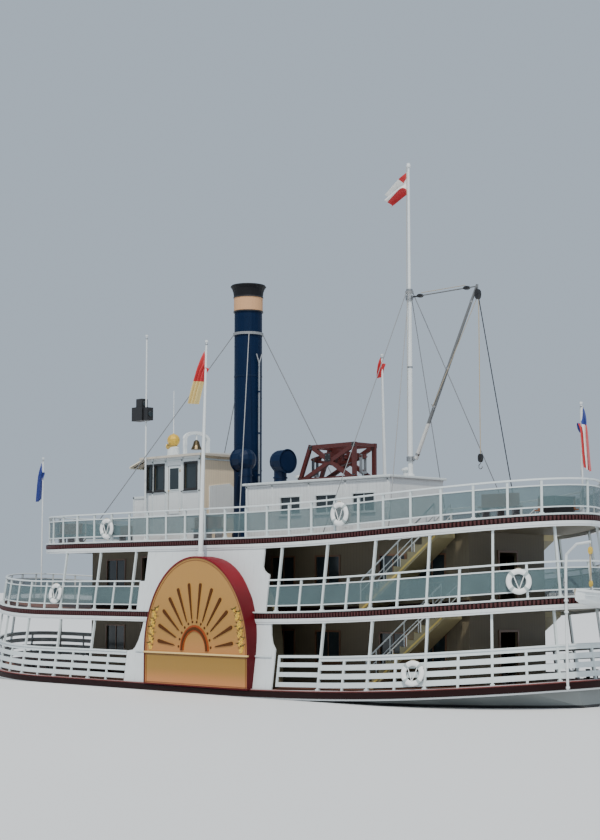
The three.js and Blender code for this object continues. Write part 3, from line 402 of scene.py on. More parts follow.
LOOKS = {
    "white": paint("white_paint", SHADED_WHITE, 0.42, shade=0.08, streak=0.22, coat=0.2),
    # Stair sides are olive-brown: painted shade under the stairs.
    "stair": paint("stair_sides_painted_shade", (0.27, 0.24, 0.13), 0.5, shade=0.2, grain=6, streak=0.2),
    "stair_edge": paint("stair_edges", (0.62, 0.47, 0.12), 0.5, shade=0.2, grain=9),
    # Rails and posts are a darker grey-blue copy of the white paint: painted shade.
    "rail": paint("rail_paint_shaded", (0.62, 0.68, 0.69), 0.4, shade=0.08, streak=0.15, coat=0.3),
    "post": paint("post_paint_shaded", (0.60, 0.66, 0.66), 0.4, shade=0.1, coat=0.3),
    "white_boards": paint("white_boards", SHADED_WHITE, 0.45, streak=0.25, grooves=("X", 0.16, 0.006)),
    "wall": paint("saloon_wall", SHADED_CREAM, 0.55, shade=0.15, streak=0.2, grooves=("X", 0.14, 0.006)),
    "wall_across": paint("saloon_end_wall", SHADED_CREAM, 0.55, shade=0.15, grooves=("Y", 0.14, 0.006)),
    "cabin_aft": paint("cabin_aft_wall", (0.74, 0.62, 0.45), 0.55, grooves=("Y", 0.12, 0.005)),
    # Ceilings and inner walls are dark: painted shade under the decks, inside the houses and inside the paddle
    # boxes.
    "ceiling": paint("ceiling_boards_painted_shade", (0.22, 0.20, 0.14), 0.6, grooves=("Y", 0.12, 0.006)),
    "inside": paint("inner_walls_painted_shade", (0.17, 0.15, 0.09), 0.7, grooves=("Z", 0.2, 0.006)),
    "deck": paint("deck_planks", (0.14, 0.06, 0.04), 0.65, shade=0.3, grain=2, grooves=("Y", 0.14, 0.008)),
    "trim": paint("dark_red_trim", (0.014, 0.003, 0.003), 0.5, shade=0.25, grain=6, streak=0.2, shine=0.15),
    "dentil": paint("dentil_red", (0.06, 0.008, 0.008), 0.5, shade=0.3, grain=14),
    "red": paint("bright_red", (0.17, 0.005, 0.012), 0.45, shade=0.2, streak=0.15, shine=0.15),
    "rub": paint("rubbing_strake", (0.22, 0.06, 0.055), 0.5, shade=0.3, grain=5, streak=0.4),
    "oxide": paint("oxide_paint", (0.070, 0.010, 0.008), 0.5, shade=0.2, grain=8, streak=0.2),
    "tan": paint("box_face", (0.42, 0.20, 0.05), 0.5, grain=2.2, streak=0.18, grooves=("X", 0.3, 0.004)),
    "batten": paint("box_batten", (0.72, 0.50, 0.20), 0.45, shade=0.1),
    "border": paint("border_lines", (0.16, 0.04, 0.015), 0.5, shade=0.2, grain=12),
    "sun": paint("sun_arch", (0.30, 0.055, 0.010), 0.5, shade=0.2, grain=8, shine=0.2),
    "ray": paint("sun_rays", (0.085, 0.030, 0.008), 0.6, shade=0.2, grain=8, shine=0.1),
    "gold": paint("gilding", (0.80, 0.50, 0.06), 0.32, metal=0.35, shade=0.3, grain=12, coat=0.3),
    "leaf": paint("garland_leaves", (0.10, 0.085, 0.008), 0.4, shade=0.3, grain=20),
    "frame": paint("window_frames", (0.14, 0.07, 0.035), 0.45, shade=0.25, grain=9, coat=0.3),
    "navy": paint("navy_paint", NAVY, 0.45, shade=0.25, grain=1.5, streak=0.25, shine=0.2),
    "black": paint("black_paint", BLACK, 0.5, shade=0.3, grain=6),
    "yellow": paint("yellow_paint", (0.62, 0.42, 0.06), 0.45, shade=0.2, grain=9),
    "eave": paint("roof_edge", (0.55, 0.50, 0.42), 0.5, shade=0.2, streak=0.2),
    "steel": paint("bare_steel", (0.34, 0.35, 0.36), 0.38, metal=0.9, shade=0.2, grain=20),
    "brass": paint("brass", (0.62, 0.42, 0.12), 0.3, metal=0.9, shade=0.2, grain=15),
    "bell": paint("bell_metal", (0.10, 0.075, 0.04), 0.4, metal=0.8, shade=0.3, grain=12),
    "wire": paint("wire_rope", (0.24, 0.25, 0.26), 0.55, metal=0.2, shade=0.3, grain=40),
    "wood": paint("varnished_wood", (0.25, 0.10, 0.04), 0.35, shade=0.3, grain=7, coat=0.5,
                  grooves=("Z", 0.3, 0.006)),
    "rope": paint("rope", (0.45, 0.38, 0.26), 0.9, shade=0.3, grain=60, bump=0.5),
    "halyard": paint("halyard", (0.60, 0.58, 0.50), 0.85, shade=0.2, grain=60),
    "ring": paint("ring_paint", (0.82, 0.83, 0.82), 0.5, shade=0.1, grain=12),
    "strap": paint("ring_straps", (0.36, 0.42, 0.42), 0.6, shade=0.2, grain=20),
    "hull": paint("hull_paint", (0.02, 0.02, 0.022), 0.45, shade=0.2, streak=0.2, grain=2),
    "funnel": paint("funnel_paint", NAVY, 0.5, shade=0.25, grain=1.5, streak=0.3, shine=0.12),
    "boom": paint("boom_paint", (0.62, 0.62, 0.60), 0.5, shade=0.15, grain=6),
    "water": paint("floor", (0.78, 0.79, 0.80), 0.6, shade=0.02, grain=0.05, bump=0.0),
    "glass": clear_pane("dark_glass", (0.02, 0.03, 0.035), 1.0),
    "screen": clear_pane("rail_screen", (0.11, 0.17, 0.18), 0.55, 0.2),
    "awning": cloth("awning_cloth", (0.78, 0.74, 0.58)),
    "flag_red": cloth("flag_red", (0.50, 0.02, 0.025)),
    "flag_cream": cloth("flag_cream", (0.68, 0.52, 0.20)),
    "flag_white": cloth("flag_white", (0.78, 0.78, 0.76)),
    "flag_blue": cloth("flag_blue", (0.015, 0.035, 0.22)),
    "flag_heading": cloth("flag_heading", (0.70, 0.69, 0.64)),
}
layered(LOOKS["hull"], (WATERLINE + 0.09, (0.19, 0.21, 0.21)))
layered(LOOKS["funnel"], (15.36, (0.56, 0.32, 0.17)), (15.94, BLACK))
layered(LOOKS["boom"], (10.35, (0.13, 0.135, 0.14)))
# The face's tone changes with height; the dark olive band just below the batten (1.95 to 2.38) is a painted
# shadow of the batten.
blended(LOOKS["tan"], (1.35, (0.54, 0.20, 0.065)), (1.95, (0.26, 0.155, 0.020)), (2.38, (0.22, 0.135, 0.014)),
        (2.46, (0.44, 0.185, 0.05)), (3.2, (0.34, 0.18, 0.036)), (5.2, (0.40, 0.215, 0.05)))
# The shell's red is dark low down and bright only at the top: painted shade by height.
blended(LOOKS["red"], (2.4, (0.035, 0.002, 0.003)), (4.2, (0.075, 0.003, 0.006)), (5.3, (0.19, 0.006, 0.014)))


# Camera, light and floor

CAMERA_PLACE = Vector((-42.952, 41.549, 4.815))
CAMERA_AIM = Vector((0.70427, -0.70234, 0.10361))
FOCAL_PIXELS = 1585.5
IMAGE_HEIGHT = 840
FLOOR_REACH = 600
# Columns: name, turn in degrees, strength, angle, colour.
LIGHTS = (("sun", (34, 0, 215), 3.2, 3, (1.0, 0.95, 0.86)),
          ("fill", (62, 0, 232), 0.6, 30, (0.85, 0.92, 1.0)))


def make_camera():
    data = bpy.data.cameras.new("camera")
    data.sensor_width = 36
    data.lens = FOCAL_PIXELS / IMAGE_HEIGHT * data.sensor_width
    data.clip_end = 2000
    camera = link("camera", data)
    camera.location = CAMERA_PLACE
    camera.rotation_euler = CAMERA_AIM.to_track_quat("-Z", "Y").to_euler()
    bpy.context.scene.camera = camera


def make_stage():
    mesh = bpy.data.meshes.new("floor")
    corners = [(x * FLOOR_REACH, y * FLOOR_REACH, WATERLINE) for x, y in ((-1, -1), (1, -1), (1, 1), (-1, 1))]
    mesh.from_pydata(corners, [], [(0, 1, 2, 3)])
    mesh.materials.append(LOOKS["water"])
    link("floor", mesh)


def make_light():
    world = bpy.data.worlds.new("sky")
    bpy.context.scene.world = world
    world.use_nodes = True
    sky = world.node_tree.nodes["Background"].inputs
    sky["Color"].default_value = (0.72, 0.85, 1.0, 1)
    sky["Strength"].default_value = 0.62
    for name, turn, strength, angle, colour in LIGHTS:
        data = bpy.data.lights.new(name, "SUN")
        data.energy = strength
        data.angle = math.radians(angle)
        data.color = colour
        link(name, data).rotation_euler = [math.radians(a) for a in turn]


make_camera()
make_stage()
make_light()


# Deck edges

DENTIL_STEP = 0.13
# Columns: out from the edge, height, half width as a share; a negative width swaps the two corners.
DENTIL_ROWS = ((0.01, -0.215, 0.55), (0.034, -0.215, -0.55), (0.034, -0.075, 1.0), (0.01, -0.06, -1.0))

# Sections of (out, height) pairs.
STRAKE = {
    "rub": [(-0.12, -0.005), (0.03, -0.005), (0.045, -0.02), (0.03, -0.045), (-0.12, -0.045)],
    "trim": [(-0.12, -0.045), (0.04, -0.045), (0.07, -0.07), (0.07, -0.23), (0.04, -0.255), (-0.12, -0.255)],
    "white": rectangle(-0.12, 0.012, -0.255, -0.31),
}
MOULDINGS = {
    "rail": [(-0.12, 0.012), (0.035, 0.012), (0.05, 0), (0.05, -0.03), (0.03, -0.045), (-0.12, -0.045)],
    "trim": rectangle(-0.12, 0.014, -0.045, -0.235),
    "white": [(-0.12, -0.235), (0.028, -0.235), (0.028, -0.335), (0.012, -0.35), (0.012, -0.4), (-0.12, -0.4)],
}


def deck_trim(name):
    """The mouldings round a deck: a nosing, a dark red dentil band and a fascia below it."""
    edge = Edge(DECKS[name], edge_ring(DECKS[name]), True)
    build = Build()
    for look, section in (STRAKE if name == "main" else MOULDINGS).items():
        edge.band(build, look, section)
    if name == "main":
        build.object("main_deck_strake")
        return
    count = int(edge.gone[-1] / DENTIL_STEP)
    for k in range(count):
        point = edge.at((k + 0.5) * edge.gone[-1] / count)
        tx, ty = -point[3] * DENTIL_STEP * 0.31, point[2] * DENTIL_STEP * 0.31
        corners = []
        for out, height, wide in DENTIL_ROWS:
            x, y, z = edge.place(point, out, height)
            corners += [(x - tx * wide, y - ty * wide, z), (x + tx * wide, y + ty * wide, z)]
        build.add("dentil", corners, [(3, 2, 5, 4), (0, 3, 4, 7), (2, 1, 6, 5), (4, 5, 6, 7), (0, 1, 2, 3)])
    build.object(name + "_deck_trim")


for deck_name in DECKS:
    deck_trim(deck_name)


# Rails

POST_STEP = 2.155
POST_WIDTH = 0.075
BOARDS = ((0.09, 0.26), (0.37, 0.54), (0.65, 0.82), (0.94, 1.055))
HANDRAIL = [(-0.045, 1.05), (-0.045, 1.085), (-0.065, 1.105), (-0.125, 1.105), (-0.145, 1.085),
            (-0.145, 1.05)]
# Columns: deck, end of the name, where the rail stops, distance of the first tall post, and
# how far forward posts reach the deck above.
RAILINGS = (("main", "_fore", 3.52, 2.175, 99), ("main", "_aft", -6.45, 0.045, 99),
            ("middle", "_fore", 3.265, 0.4, 8.8), ("middle", "_aft", -3.71, 0.465, 8.8),
            ("top", "", None, 0.3, -99))


def board(build, look, edge, low, high, out, thick):
    edge.band(build, look, [(out, low), (out, high), (out - thick, high), (out - thick, low)])


def post(build, look, edge, point, low, high, wide, deep, out):
    tx, ty = -point[3] * wide / 2, point[2] * wide / 2
    rings = []
    for height in (low, high):
        places = [(*edge.place(point, out - in_by, height), sign)
                  for in_by, sign in ((0, -1), (0, 1), (deep, 1), (deep, -1))]
        rings.append([(x + sign * tx, y + sign * ty, z) for x, y, z, sign in places])
    build.loft(look, rings)


def post_places(total, first):
    """Distances of the tall posts, alike from both ends, and of the short ones between them."""
    tall = []
    at = first
    while at < total / 2 - 0.07:
        tall += [at, total - at]
        at += POST_STEP
    tall.sort()
    short = [(a + b) / 2 for a, b in zip(tall, tall[1:])]
    if first > POST_STEP * 0.6:
        short += [first / 2, total - first / 2]
    return tall, sorted(short)


def railing(deck_name, end, stop, first, tall_limit):
    deck = DECKS[deck_name]
    path = edge_run(deck, stop, end == "_aft") if end else edge_ring(deck)
    edge = Edge(deck, path, not end, LEAN if end else 0)
    build = Build()
    edge.band(build, "rail", HANDRAIL)
    if deck_name == "main":
        for low, high in BOARDS:
            board(build, "rail", edge, low, high, -0.075, 0.035)
    else:
        board(build, "rail", edge, 0.86, 0.9, -0.08, 0.045)
        board(build, "rail", edge, 0.19, 0.23, -0.08, 0.045)
        board(build, "screen", edge, 0.23, 0.86, -0.098, 0.012)
    ceiling = {"main": DECKS["middle"], "middle": DECKS["top"]}.get(deck_name)
    tall, short = post_places(edge.gone[-1], first)
    for at in tall:
        point = edge.at(at)
        reach = 1.06
        if ceiling and point[0] < tall_limit:
            reach = ceiling["z"] - DECK_DEPTH - deck["z"] + 0.01
        post(build, "post", edge, point, 0, reach, POST_WIDTH, 0.075, -0.06)
        if reach > 2:
            post(build, "rail", edge, point, reach - 0.12, reach, POST_WIDTH * 1.6, 0.1, -0.045)
        post(build, "rail", edge, point, 0, 0.05, POST_WIDTH * 1.8, 0.11, -0.04)
    for at in short:
        post(build, "post", edge, edge.at(at), 0, 1.06, POST_WIDTH, 0.06, -0.07)
    build.object("rail_" + deck_name + end, replaces=(deck_name + "_rail" + end,))


for row in RAILINGS:
    railing(*row)


# Paddle boxes

SUN = dict(radius=0.66, foot=2.53, rise=0.76)
# Columns: look, inner radius, outer radius, depth before the face.
SUN_RINGS = (("sun", 0.58, 0.62, 0.03), ("ray", 0.62, 0.7, 0.045), ("sun", 0.7, 0.76, 0.03))
STUD = [(0, 0), (0.045, 0), (0.045, 0.012), (0.02, 0.028), (0, 0.03)]
RAY_START = 1.12
RAY_ENDS = ((-2.66, 2.84), (-2.62, 3.4), (-2.38, 3.93), (-2.04, 4.37), (-1.58, 4.7), (-0.98, 4.88),
            (-0.36, 4.88), (0.24, 4.7), (0.7, 4.37), (1.04, 3.93), (1.28, 3.4), (1.32, 2.84))
BOX_FOOT = 1.32
ARCH_STEPS = 64
# Columns: look, margin of the outer and of the inner line, depth behind the face, depth before it.
ARCHES = (("red", 0.028, 0, 0.62, 0.018), ("red", 0.03, -0.012, 0, 0.026),
          ("border", -0.012, -0.04, 0, 0.02), ("border", -0.1, -0.115, 0, 0.012))
# Columns: look, inset at both ends, depth behind the face, depth before it, lower and upper height.
BATTENS = (("batten", -0.03, 0.02, 0.05, 2.395, 2.455), ("border", 0.06, 0, 0.014, 2.345, 2.36),
           ("border", 0.06, 0, 0.014, 1.36, 1.375), ("red", 0, 0.05, 0.02, 1.275, 1.325))


def arch_ring(margin):
    """Points (x, z) along the arch of a paddle box from its forward foot round to the aft one."""
    half, rise = PADDLE["half"] + margin, PADDLE["rise"] + margin
    arc = [(PADDLE["x"] + half * math.cos(a), PADDLE["z"] + rise * math.sin(a))
           for a in (math.pi * k / ARCH_STEPS for k in range(ARCH_STEPS + 1))]
    return [(PADDLE["x"] + half, BOX_FOOT)] + arc + [(PADDLE["x"] - half, BOX_FOOT)]


def box_face(side):
    face = PADDLE["face"]
    centre = Vector((PADDLE["x"], SUN["foot"]))
    stretch = SUN["rise"] / SUN["radius"] + 0.02
    build = Build()
    for look, outer, inner, back, proud in ARCHES:
        y0, y1 = face - back, face + proud
        build.loft(look, [[(xo, y0, zo), (xo, y1, zo), (xi, y1, zi), (xi, y0, zi)]
                          for (xo, zo), (xi, zi) in zip(arch_ring(outer), arch_ring(inner))])

    def on_sun(radius, a):
        return centre.x + radius * math.cos(a), centre.y + radius * math.sin(a) * stretch

    for look, inner, outer, proud in SUN_RINGS:
        lines = [[on_sun(radius, math.pi * k / 32) for k in range(33)] for radius in (inner, outer)]
        build.loft(look, [[(xi, face, zi), (xo, face, zo), (xo, face + proud, zo), (xi, face + proud, zi)]
                          for (xi, zi), (xo, zo) in zip(*lines)])
    for k in range(12):
        x, z = on_sun(0.86, math.pi * (k + 0.5) / 12)
        build.lathe("ray", (x, face, z), STUD, 10, "Y")
    for end in RAY_ENDS:
        way = Vector(end) - centre
        length = way.length
        way.normalize()
        across = Vector((-way.y, way.x))

        def strip(proud, *places):
            build.plate("ray", [centre + way * d + across * w for d, w in places], face, face + proud)

        strip(0.03, (RAY_START, -0.016), (length - 0.05, -0.062), (length, -0.031), (length, 0.031),
              (length - 0.05, 0.062), (RAY_START, 0.016))
        foot = RAY_START - 0.05
        strip(0.02, (foot, -0.006), (RAY_START, -0.006), (RAY_START, 0.006), (foot, 0.006))
    left, right = PADDLE["x"] - PADDLE["half"], PADDLE["x"] + PADDLE["half"]
    for look, inset, back, proud, low, high in BATTENS:
        build.box(look, (left + inset, face - back, low), (right - inset, face + proud, high))
    return build.object("paddle_box_face_" + side, bevel=0.004)


def flower(build, x, y, z, size, turn):
    for a in circle(6, 0.1 * turn):
        petal = (x + size * 0.62 * math.cos(a), y, z + size * 0.62 * math.sin(a))
        build.lathe("gold", petal, [(0, 0), (size * 0.42, 0), (size * 0.36, 0.016), (0, 0.026)], 8, "Y")
    build.lathe("gold", (x, y, z), [(0, 0), (size * 0.34, 0), (size * 0.28, 0.036), (0, 0.05)], 8, "Y")


def garland(side):
    """Gilded flowers and leaves that climb beside the rays at both edges of the face."""
    face = PADDLE["face"]
    build = Build()
    for sign in (-1, 1):
        for k in range(15):
            z = 2.6 + k / 14 * 1.35
            edge = PADDLE["half"] * math.sqrt(1 - ((z - PADDLE["z"]) / PADDLE["rise"]) ** 2)
            x = PADDLE["x"] + sign * (edge - 0.33 + 0.09 * math.sin(k * 2.1))
            flower(build, x, face, z, 0.062 + 0.04 * (k % 3 == 0), k)
            for turn in (-1, 1):
                lean = math.radians(50 * turn + 20 * math.sin(k))
                tip = (x + 0.21 * math.sin(lean), z + 0.17 * math.cos(lean))
                leaf = [(x, z), (x + 0.035, z + 0.075), tip, (x - 0.035, z + 0.045)]
                build.plate("leaf", leaf, face, face + 0.018)
    return build.object("paddle_box_garland_" + side)


for draw in (box_face, garland):
    for side, sign in SIDES:
        draw(side).scale.y = sign


@single("wing_caps")
def draw_wing_caps(build):
    """The rail cap carried on across the white walls beside each paddle box."""
    for side in (-1, 1):
        for x0, x1 in ((2.075, 2.975), (-4.225, -3.415)):
            section = ((4.262, 2.39), (4.297, 2.396), (4.297, 2.44), (4.256, 2.45))
            build.loft("rail", [[(x, side * y, z) for y, z in section] for x in (x0, x1)])


# Deck houses

HOUSE = dict(fore=8.6, aft=-10.9, half=2.0)
HOUSE_WINDOWS = ((-9.9, -8.8), (-8.2, -7.1), (-5.2, -4.1), (-3.0, -1.9), (0.7, 1.8), (2.4, 3.5), (6.5, 7.6))
SIDE_DOOR = (4.5, 5.4)
DOOR_HEIGHT = 1.98
DOOR_FRAME = 0.08
SILL, HEAD = 0.9, 1.9


def frame_bars(start, end, low, high, wide):
    """The four bars round an opening, each as two corners (along, height)."""
    left, right = start - wide, end + wide
    return (((left, low - wide), (right, low)), ((left, high), (right, high + wide)),
            ((left, low), (start, high)), ((end, low), (right, high)))


def window(build, look, x0, x1, z0, z1, y, out, frame=0.06, bar=True):
    """A framed pane in a side wall at y, with its frame standing out by 30 mm; out is +1 or -1."""
    for (a, low), (b, high) in frame_bars(x0, x1, z0, z1, frame):
        build.box(look, (a, y - out * 0.02, low), (b, y + out * 0.03, high))
    sill, over = z0 - frame, frame + 0.02
    build.box(look, (x0 - over, y, sill - 0.03), (x1 + over, y + out * 0.06, sill))
    build.box("glass", (x0 - 0.01, y - out * 0.045, z0 - 0.01), (x1 + 0.01, y - out * 0.035, z1 + 0.01))
    if bar:
        x = (x0 + x1) / 2
        build.box(look, (x - 0.018, y - out * 0.05, z0), (x + 0.018, y - out * 0.01, z1))


def across_window(build, look, y0, y1, z0, z1, x, out, frame=0.06):
    """The same in an end wall at x, for y from y0 to y1."""
    for (a, low), (b, high) in frame_bars(y0, y1, z0, z1, frame):
        build.box(look, (x - out * 0.02, a, low), (x + out * 0.03, b, high))
    build.box("glass", (x - out * 0.045, y0 - 0.01, z0 - 0.01), (x - out * 0.035, y1 + 0.01, z1 + 0.01))


def house_trim(storey):
    """Windows, door frames, skirting and dado rail of the long house on one deck."""
    z = DECKS[storey]["z"]
    x0, x1 = SIDE_DOOR
    top = z + DOOR_HEIGHT
    build = Build()
    for out in (-1, 1):
        y = out * HOUSE["half"]
        near, far = y + out * 0.001, y + out * 0.03
        for start, end in HOUSE_WINDOWS:
            window(build, "frame", start, end, z + SILL, z + HEAD, y, out)
        for a, b, low in ((x0 - DOOR_FRAME, x0, z + 0.02), (x1, x1 + DOOR_FRAME, z + 0.02), (x0, x1, top)):
            build.box("frame", (a, near, low), (b, y + out * 0.035, top + DOOR_FRAME))
        for start, end in ((HOUSE["aft"], x0 - DOOR_FRAME), (x1 + DOOR_FRAME, HOUSE["fore"])):
            for low, high, look in ((0.02, 0.14, "trim"), (0.74, 0.79, "frame")):
                run = [(x, z + sheer(x)) for x in (start + (end - start) * k / 12 for k in range(13))]
                build.loft(look, [[(x, near, base + low), (x, far, base + low), (x, far, base + high),
                                   (x, near, base + high)] for x, base in run])
    for x, out in ((HOUSE["fore"], 1), (HOUSE["aft"], -1)):
        floor = z + sheer(x) + 0.02
        for y0, y1, low in ((-0.53, -0.45, floor), (0.45, 0.53, floor), (-0.45, 0.45, top)):
            build.box("frame", (x + out * 0.001, y0, low), (x + out * 0.035, y1, top + DOOR_FRAME))
    build.object(storey + "_house_trim", bevel=0.004)


def door_trim(node, x0, x1, z0, z1, face, out, panel, edging):
    """A panel, a pane, hinges and a knob on a door; they ride on the door's own body."""
    build = Build()
    inset = 0.09
    middle = (z0 + z1) / 2
    for look, low, high in ((panel, z0 + inset, middle - 0.05), ("glass", middle + 0.05, z1 - inset)):
        build.box(look, (x0 + inset, face, low), (x1 - inset, face + out * 0.012, high))
        for (a, bottom), (b, top) in frame_bars(x0 + inset, x1 - inset, low, high, 0.03):
            build.box(edging, (a, face, bottom), (b, face + out * 0.02, top))
    knob_x = x1 - 0.06
    build.tube("brass", [(knob_x, face, middle), (knob_x, face + out * 0.05, middle)], 0.012, 8)
    build.lathe("brass", (knob_x, face + out * 0.06, middle),
                [(0, -0.028), (0.018, -0.024), (0.03, 0), (0.018, 0.022), (0, 0.028)], 12, "Y")
    for z in (z0 + 0.2, z1 - 0.2):
        build.box("brass", (x0 + 0.005, face, z - 0.05), (x0 + 0.075, face + out * 0.01, z + 0.05))
    build.object(node + "_trim", body=node)


for storey in ("main", "middle"):
    house_trim(storey)
for side, out in SIDES:
    door_trim("house_door_" + side, 4.512, 5.388, 1.327, 3.283, out * 1.99, out, "wood", "frame")
    door_trim("pilothouse_door_" + side, 3.892, 4.608, 7.512, 9.448, out * 1.39, out, "white", "rail")


# Pilothouse

CABIN = dict(fore=6.015, aft=2.715, half=1.4, roof=9.78, sill=8.55, head=9.5)
CABIN_WINDOWS = ((5.6, 5.88), (4.865, 5.415), (2.95, 3.6))
CABIN_POSTS = (CABIN["aft"], 3.74, 4.7, 5.5, CABIN["fore"] - 0.09)
# Columns: height, start and end of the bands on the cabin's sides, which stop at its doors.
CABIN_BANDS = ((7.46, CABIN["aft"], 3.85), (7.46, 4.65, CABIN["fore"]), (8.4, CABIN["aft"], 3.85),
               (8.4, 4.65, CABIN["fore"]), (9.62, CABIN["aft"], CABIN["fore"]))
BULWARK = dict(end=CABIN["fore"] + 0.74, top=8.3)
BOARD_OUTLINE = ((0.95, 8.62), (-0.1, 8.75), (-0.9, 8.2), (-0.9, 7.55), (0.95, 7.55))
AWNING_HEIGHT = 9.545


def eave(build, look, x0, x1, half, section):
    """Sweeps a section of (out, height) pairs round a rectangle."""
    build.loft(look, [[(x + sx * out, sy * (half + out), z) for out, z in section]
                      for x, sx, sy in ((x0, -1, -1), (x1, 1, -1), (x1, 1, 1), (x0, -1, 1))], closed=True)


@single("pilothouse_trim", bevel=0.003)
def draw_pilothouse_trim(build):
    fore, aft, half, sill, head = (CABIN[key] for key in ("fore", "aft", "half", "sill", "head"))
    for out in (-1, 1):
        near, far = out * half, out * (half + 0.03)
        for x0, x1 in CABIN_WINDOWS:
            window(build, "black", x0, x1, sill, head, near, out, 0.075, False)
        for x in CABIN_POSTS:
            build.box("rail", (x, near, 6.5), (x + 0.09, far, CABIN["roof"]))
        for z, x0, x1 in CABIN_BANDS:
            build.box("rail", (x0, near, z), (x1, far, z + 0.06))
        for z in (6.5, 8.24):
            build.box("rail", (fore, near, z), (BULWARK["end"], far, z + 0.09))
        build.box("rail", (BULWARK["end"] - 0.08, near, 6.5), (BULWARK["end"], far, BULWARK["top"] + 0.02))
    for y in (-1.15, -0.35, 0.45):
        across_window(build, "black", y, y + 0.7, sill - 0.15, head, fore, 1, 0.05)
    across_window(build, "black", -1.05, -0.45, sill + 0.15, head - 0.05, aft, -1)
    for z in (7.46, 9.62):
        build.box("rail", (aft - 0.03, -half, z), (aft, half, z + 0.06))
    build.loft("white", [[(x, y, z) for y, z in BOARD_OUTLINE] for x in (aft - 0.035, aft - 0.001)])
    eave(build, "eave", aft - 0.17, fore + 0.12, 1.57, rectangle(0, 0.03, 9.77, 9.86))
    for k in range(7):
        y = -1.3 + k * 2.6 / 6
        build.bar("black", (fore + 0.1, y, 9.74), (fore + 0.85, y, 9.5), 0.03, 0.03)


@single("awning_valance")
def draw_awning_valance(build):
    """The scalloped strip that hangs from the front of the pilothouse awning."""
    x0, x1 = CABIN["fore"] + 0.86, CABIN["fore"] + 0.872
    scallops, steps = 24, 4
    rings = []
    for k in range(scallops * steps + 1):
        y = -1.52 + 3.04 * k / (scallops * steps)
        foot = AWNING_HEIGHT - 0.07 - 0.035 * abs(math.sin(math.pi * k / steps))
        rings.append([(x0, y, AWNING_HEIGHT), (x1, y, AWNING_HEIGHT), (x1, y, foot), (x0, y, foot)])
    build.loft("awning", rings)


# Low deckhouse, gallows and cowls

DECKHOUSE = dict(fore=0.165, aft=-7.015, half=1.4, top=8.55)
DECKHOUSE_WINDOWS = ((-6.3, -5.3), (-4.5, -3.5), (-2.7, -1.7))
ROOF_EDGE = 0.06
BRACE_X = -3.285
GALLOWS_JOINTS = ((-1.84, 8.66), (-2.4, 9.8), (-4.55, 9.8), (-4.55, 8.66), (BRACE_X, 9.4))


@single("deckhouse_trim", bevel=0.003)
def draw_deckhouse_trim(build):
    fore, aft, half, top = (DECKHOUSE[key] for key in ("fore", "aft", "half", "top"))
    floor = DECKS["top"]["z"]
    for out in (-1, 1):
        for x0, x1 in DECKHOUSE_WINDOWS:
            window(build, "rail", x0, x1, floor + 0.9, floor + 1.5, out * half, out, 0.05)
        near, far = out * (half + 0.001), out * (half + 0.025)
        for x in (aft + 0.05, -4.98, -3.18, -1.3, fore - 0.1):
            build.box("white", (x, near, floor + 0.35), (x + 0.07, far, top - 0.1))
        build.box("white", (aft, near, top - 0.16), (fore, far, top - 0.09))
    section = ((0.001, -0.075), (0.028, -0.075), (0.04, -0.02), (0.028, 0.01), (0.001, 0.01))
    eave(build, "rail", aft - ROOF_EDGE, fore + ROOF_EDGE, half + ROOF_EDGE,
         [(out, top + height) for out, height in section])
    for x in (-0.55, -5.9):
        build.lathe("white", (x, -0.75, top), [(0, 0), (0.13, 0), (0.13, 0.3), (0.2, 0.31), (0.2, 0.36),
                                               (0.05, 0.42), (0, 0.43)], 20)


@single("gallows_plates")
def draw_gallows_plates(build):
    """Iron plates and bolts over the joints of the timber frames."""
    for out in (-1, 1):
        for x, z in GALLOWS_JOINTS:
            face, wide = (0.581, 0.14) if x == BRACE_X else (0.5735, 0.08)
            near, far = out * face, out * (face + 0.012)
            build.box("black", (x - wide, near, z - wide), (x + wide, far, z + wide))
            for dx, dz in ((-0.6, -0.6), (0.6, -0.6), (0.6, 0.6), (-0.6, 0.6)):
                build.lathe("steel", (x + wide * dx, far, z + wide * dz),
                            [(0, 0), (0.014, 0), (0.014, out * 0.012), (0, out * 0.016)], 6, "Y")


def hoop(build, look, x, y, z, section, sides):
    """Sweeps a section of (radius, height) pairs once round a vertical axis."""
    build.loft(look, [[(x + r * math.cos(a), y + r * math.sin(a), z + h) for r, h in section]
                      for a in circle(sides)], closed=True)


def cowl_rim(name, x, y, z, facing):
    build = Build()
    rim = [(0.405, 0), (0.425, 0.016), (0.448, 0.012), (0.452, -0.012), (0.44, -0.03), (0.43, -0.03)]
    build.lathe("navy", (x + facing * 0.4085, y, z), [(r, facing * h) for r, h in rim[::facing]], 40, "X")
    hoop(build, "navy", x, y, z - 0.62, ((0.245, 0), (0.245, 0.05), (0.27, 0.05), (0.27, 0)), 32)
    build.object(name + "_rim")


cowl_rim("cowl_fore", 0.695, 0.9, 9.52, 1)
cowl_rim("cowl_aft", -1.165, 0.9, 9.34, -1)


# Funnel fittings

FUNNEL = dict(x=1.555, radius=0.537)
# Columns: look, height, how far the collar stands out, half its own height.
COLLARS = (("navy", 9.2, 0.012, 0.035), ("navy", 12.83, 0.012, 0.035), ("black", 15.36, 0.045, 0.03),
           ("black", 15.93, 0.045, 0.03))


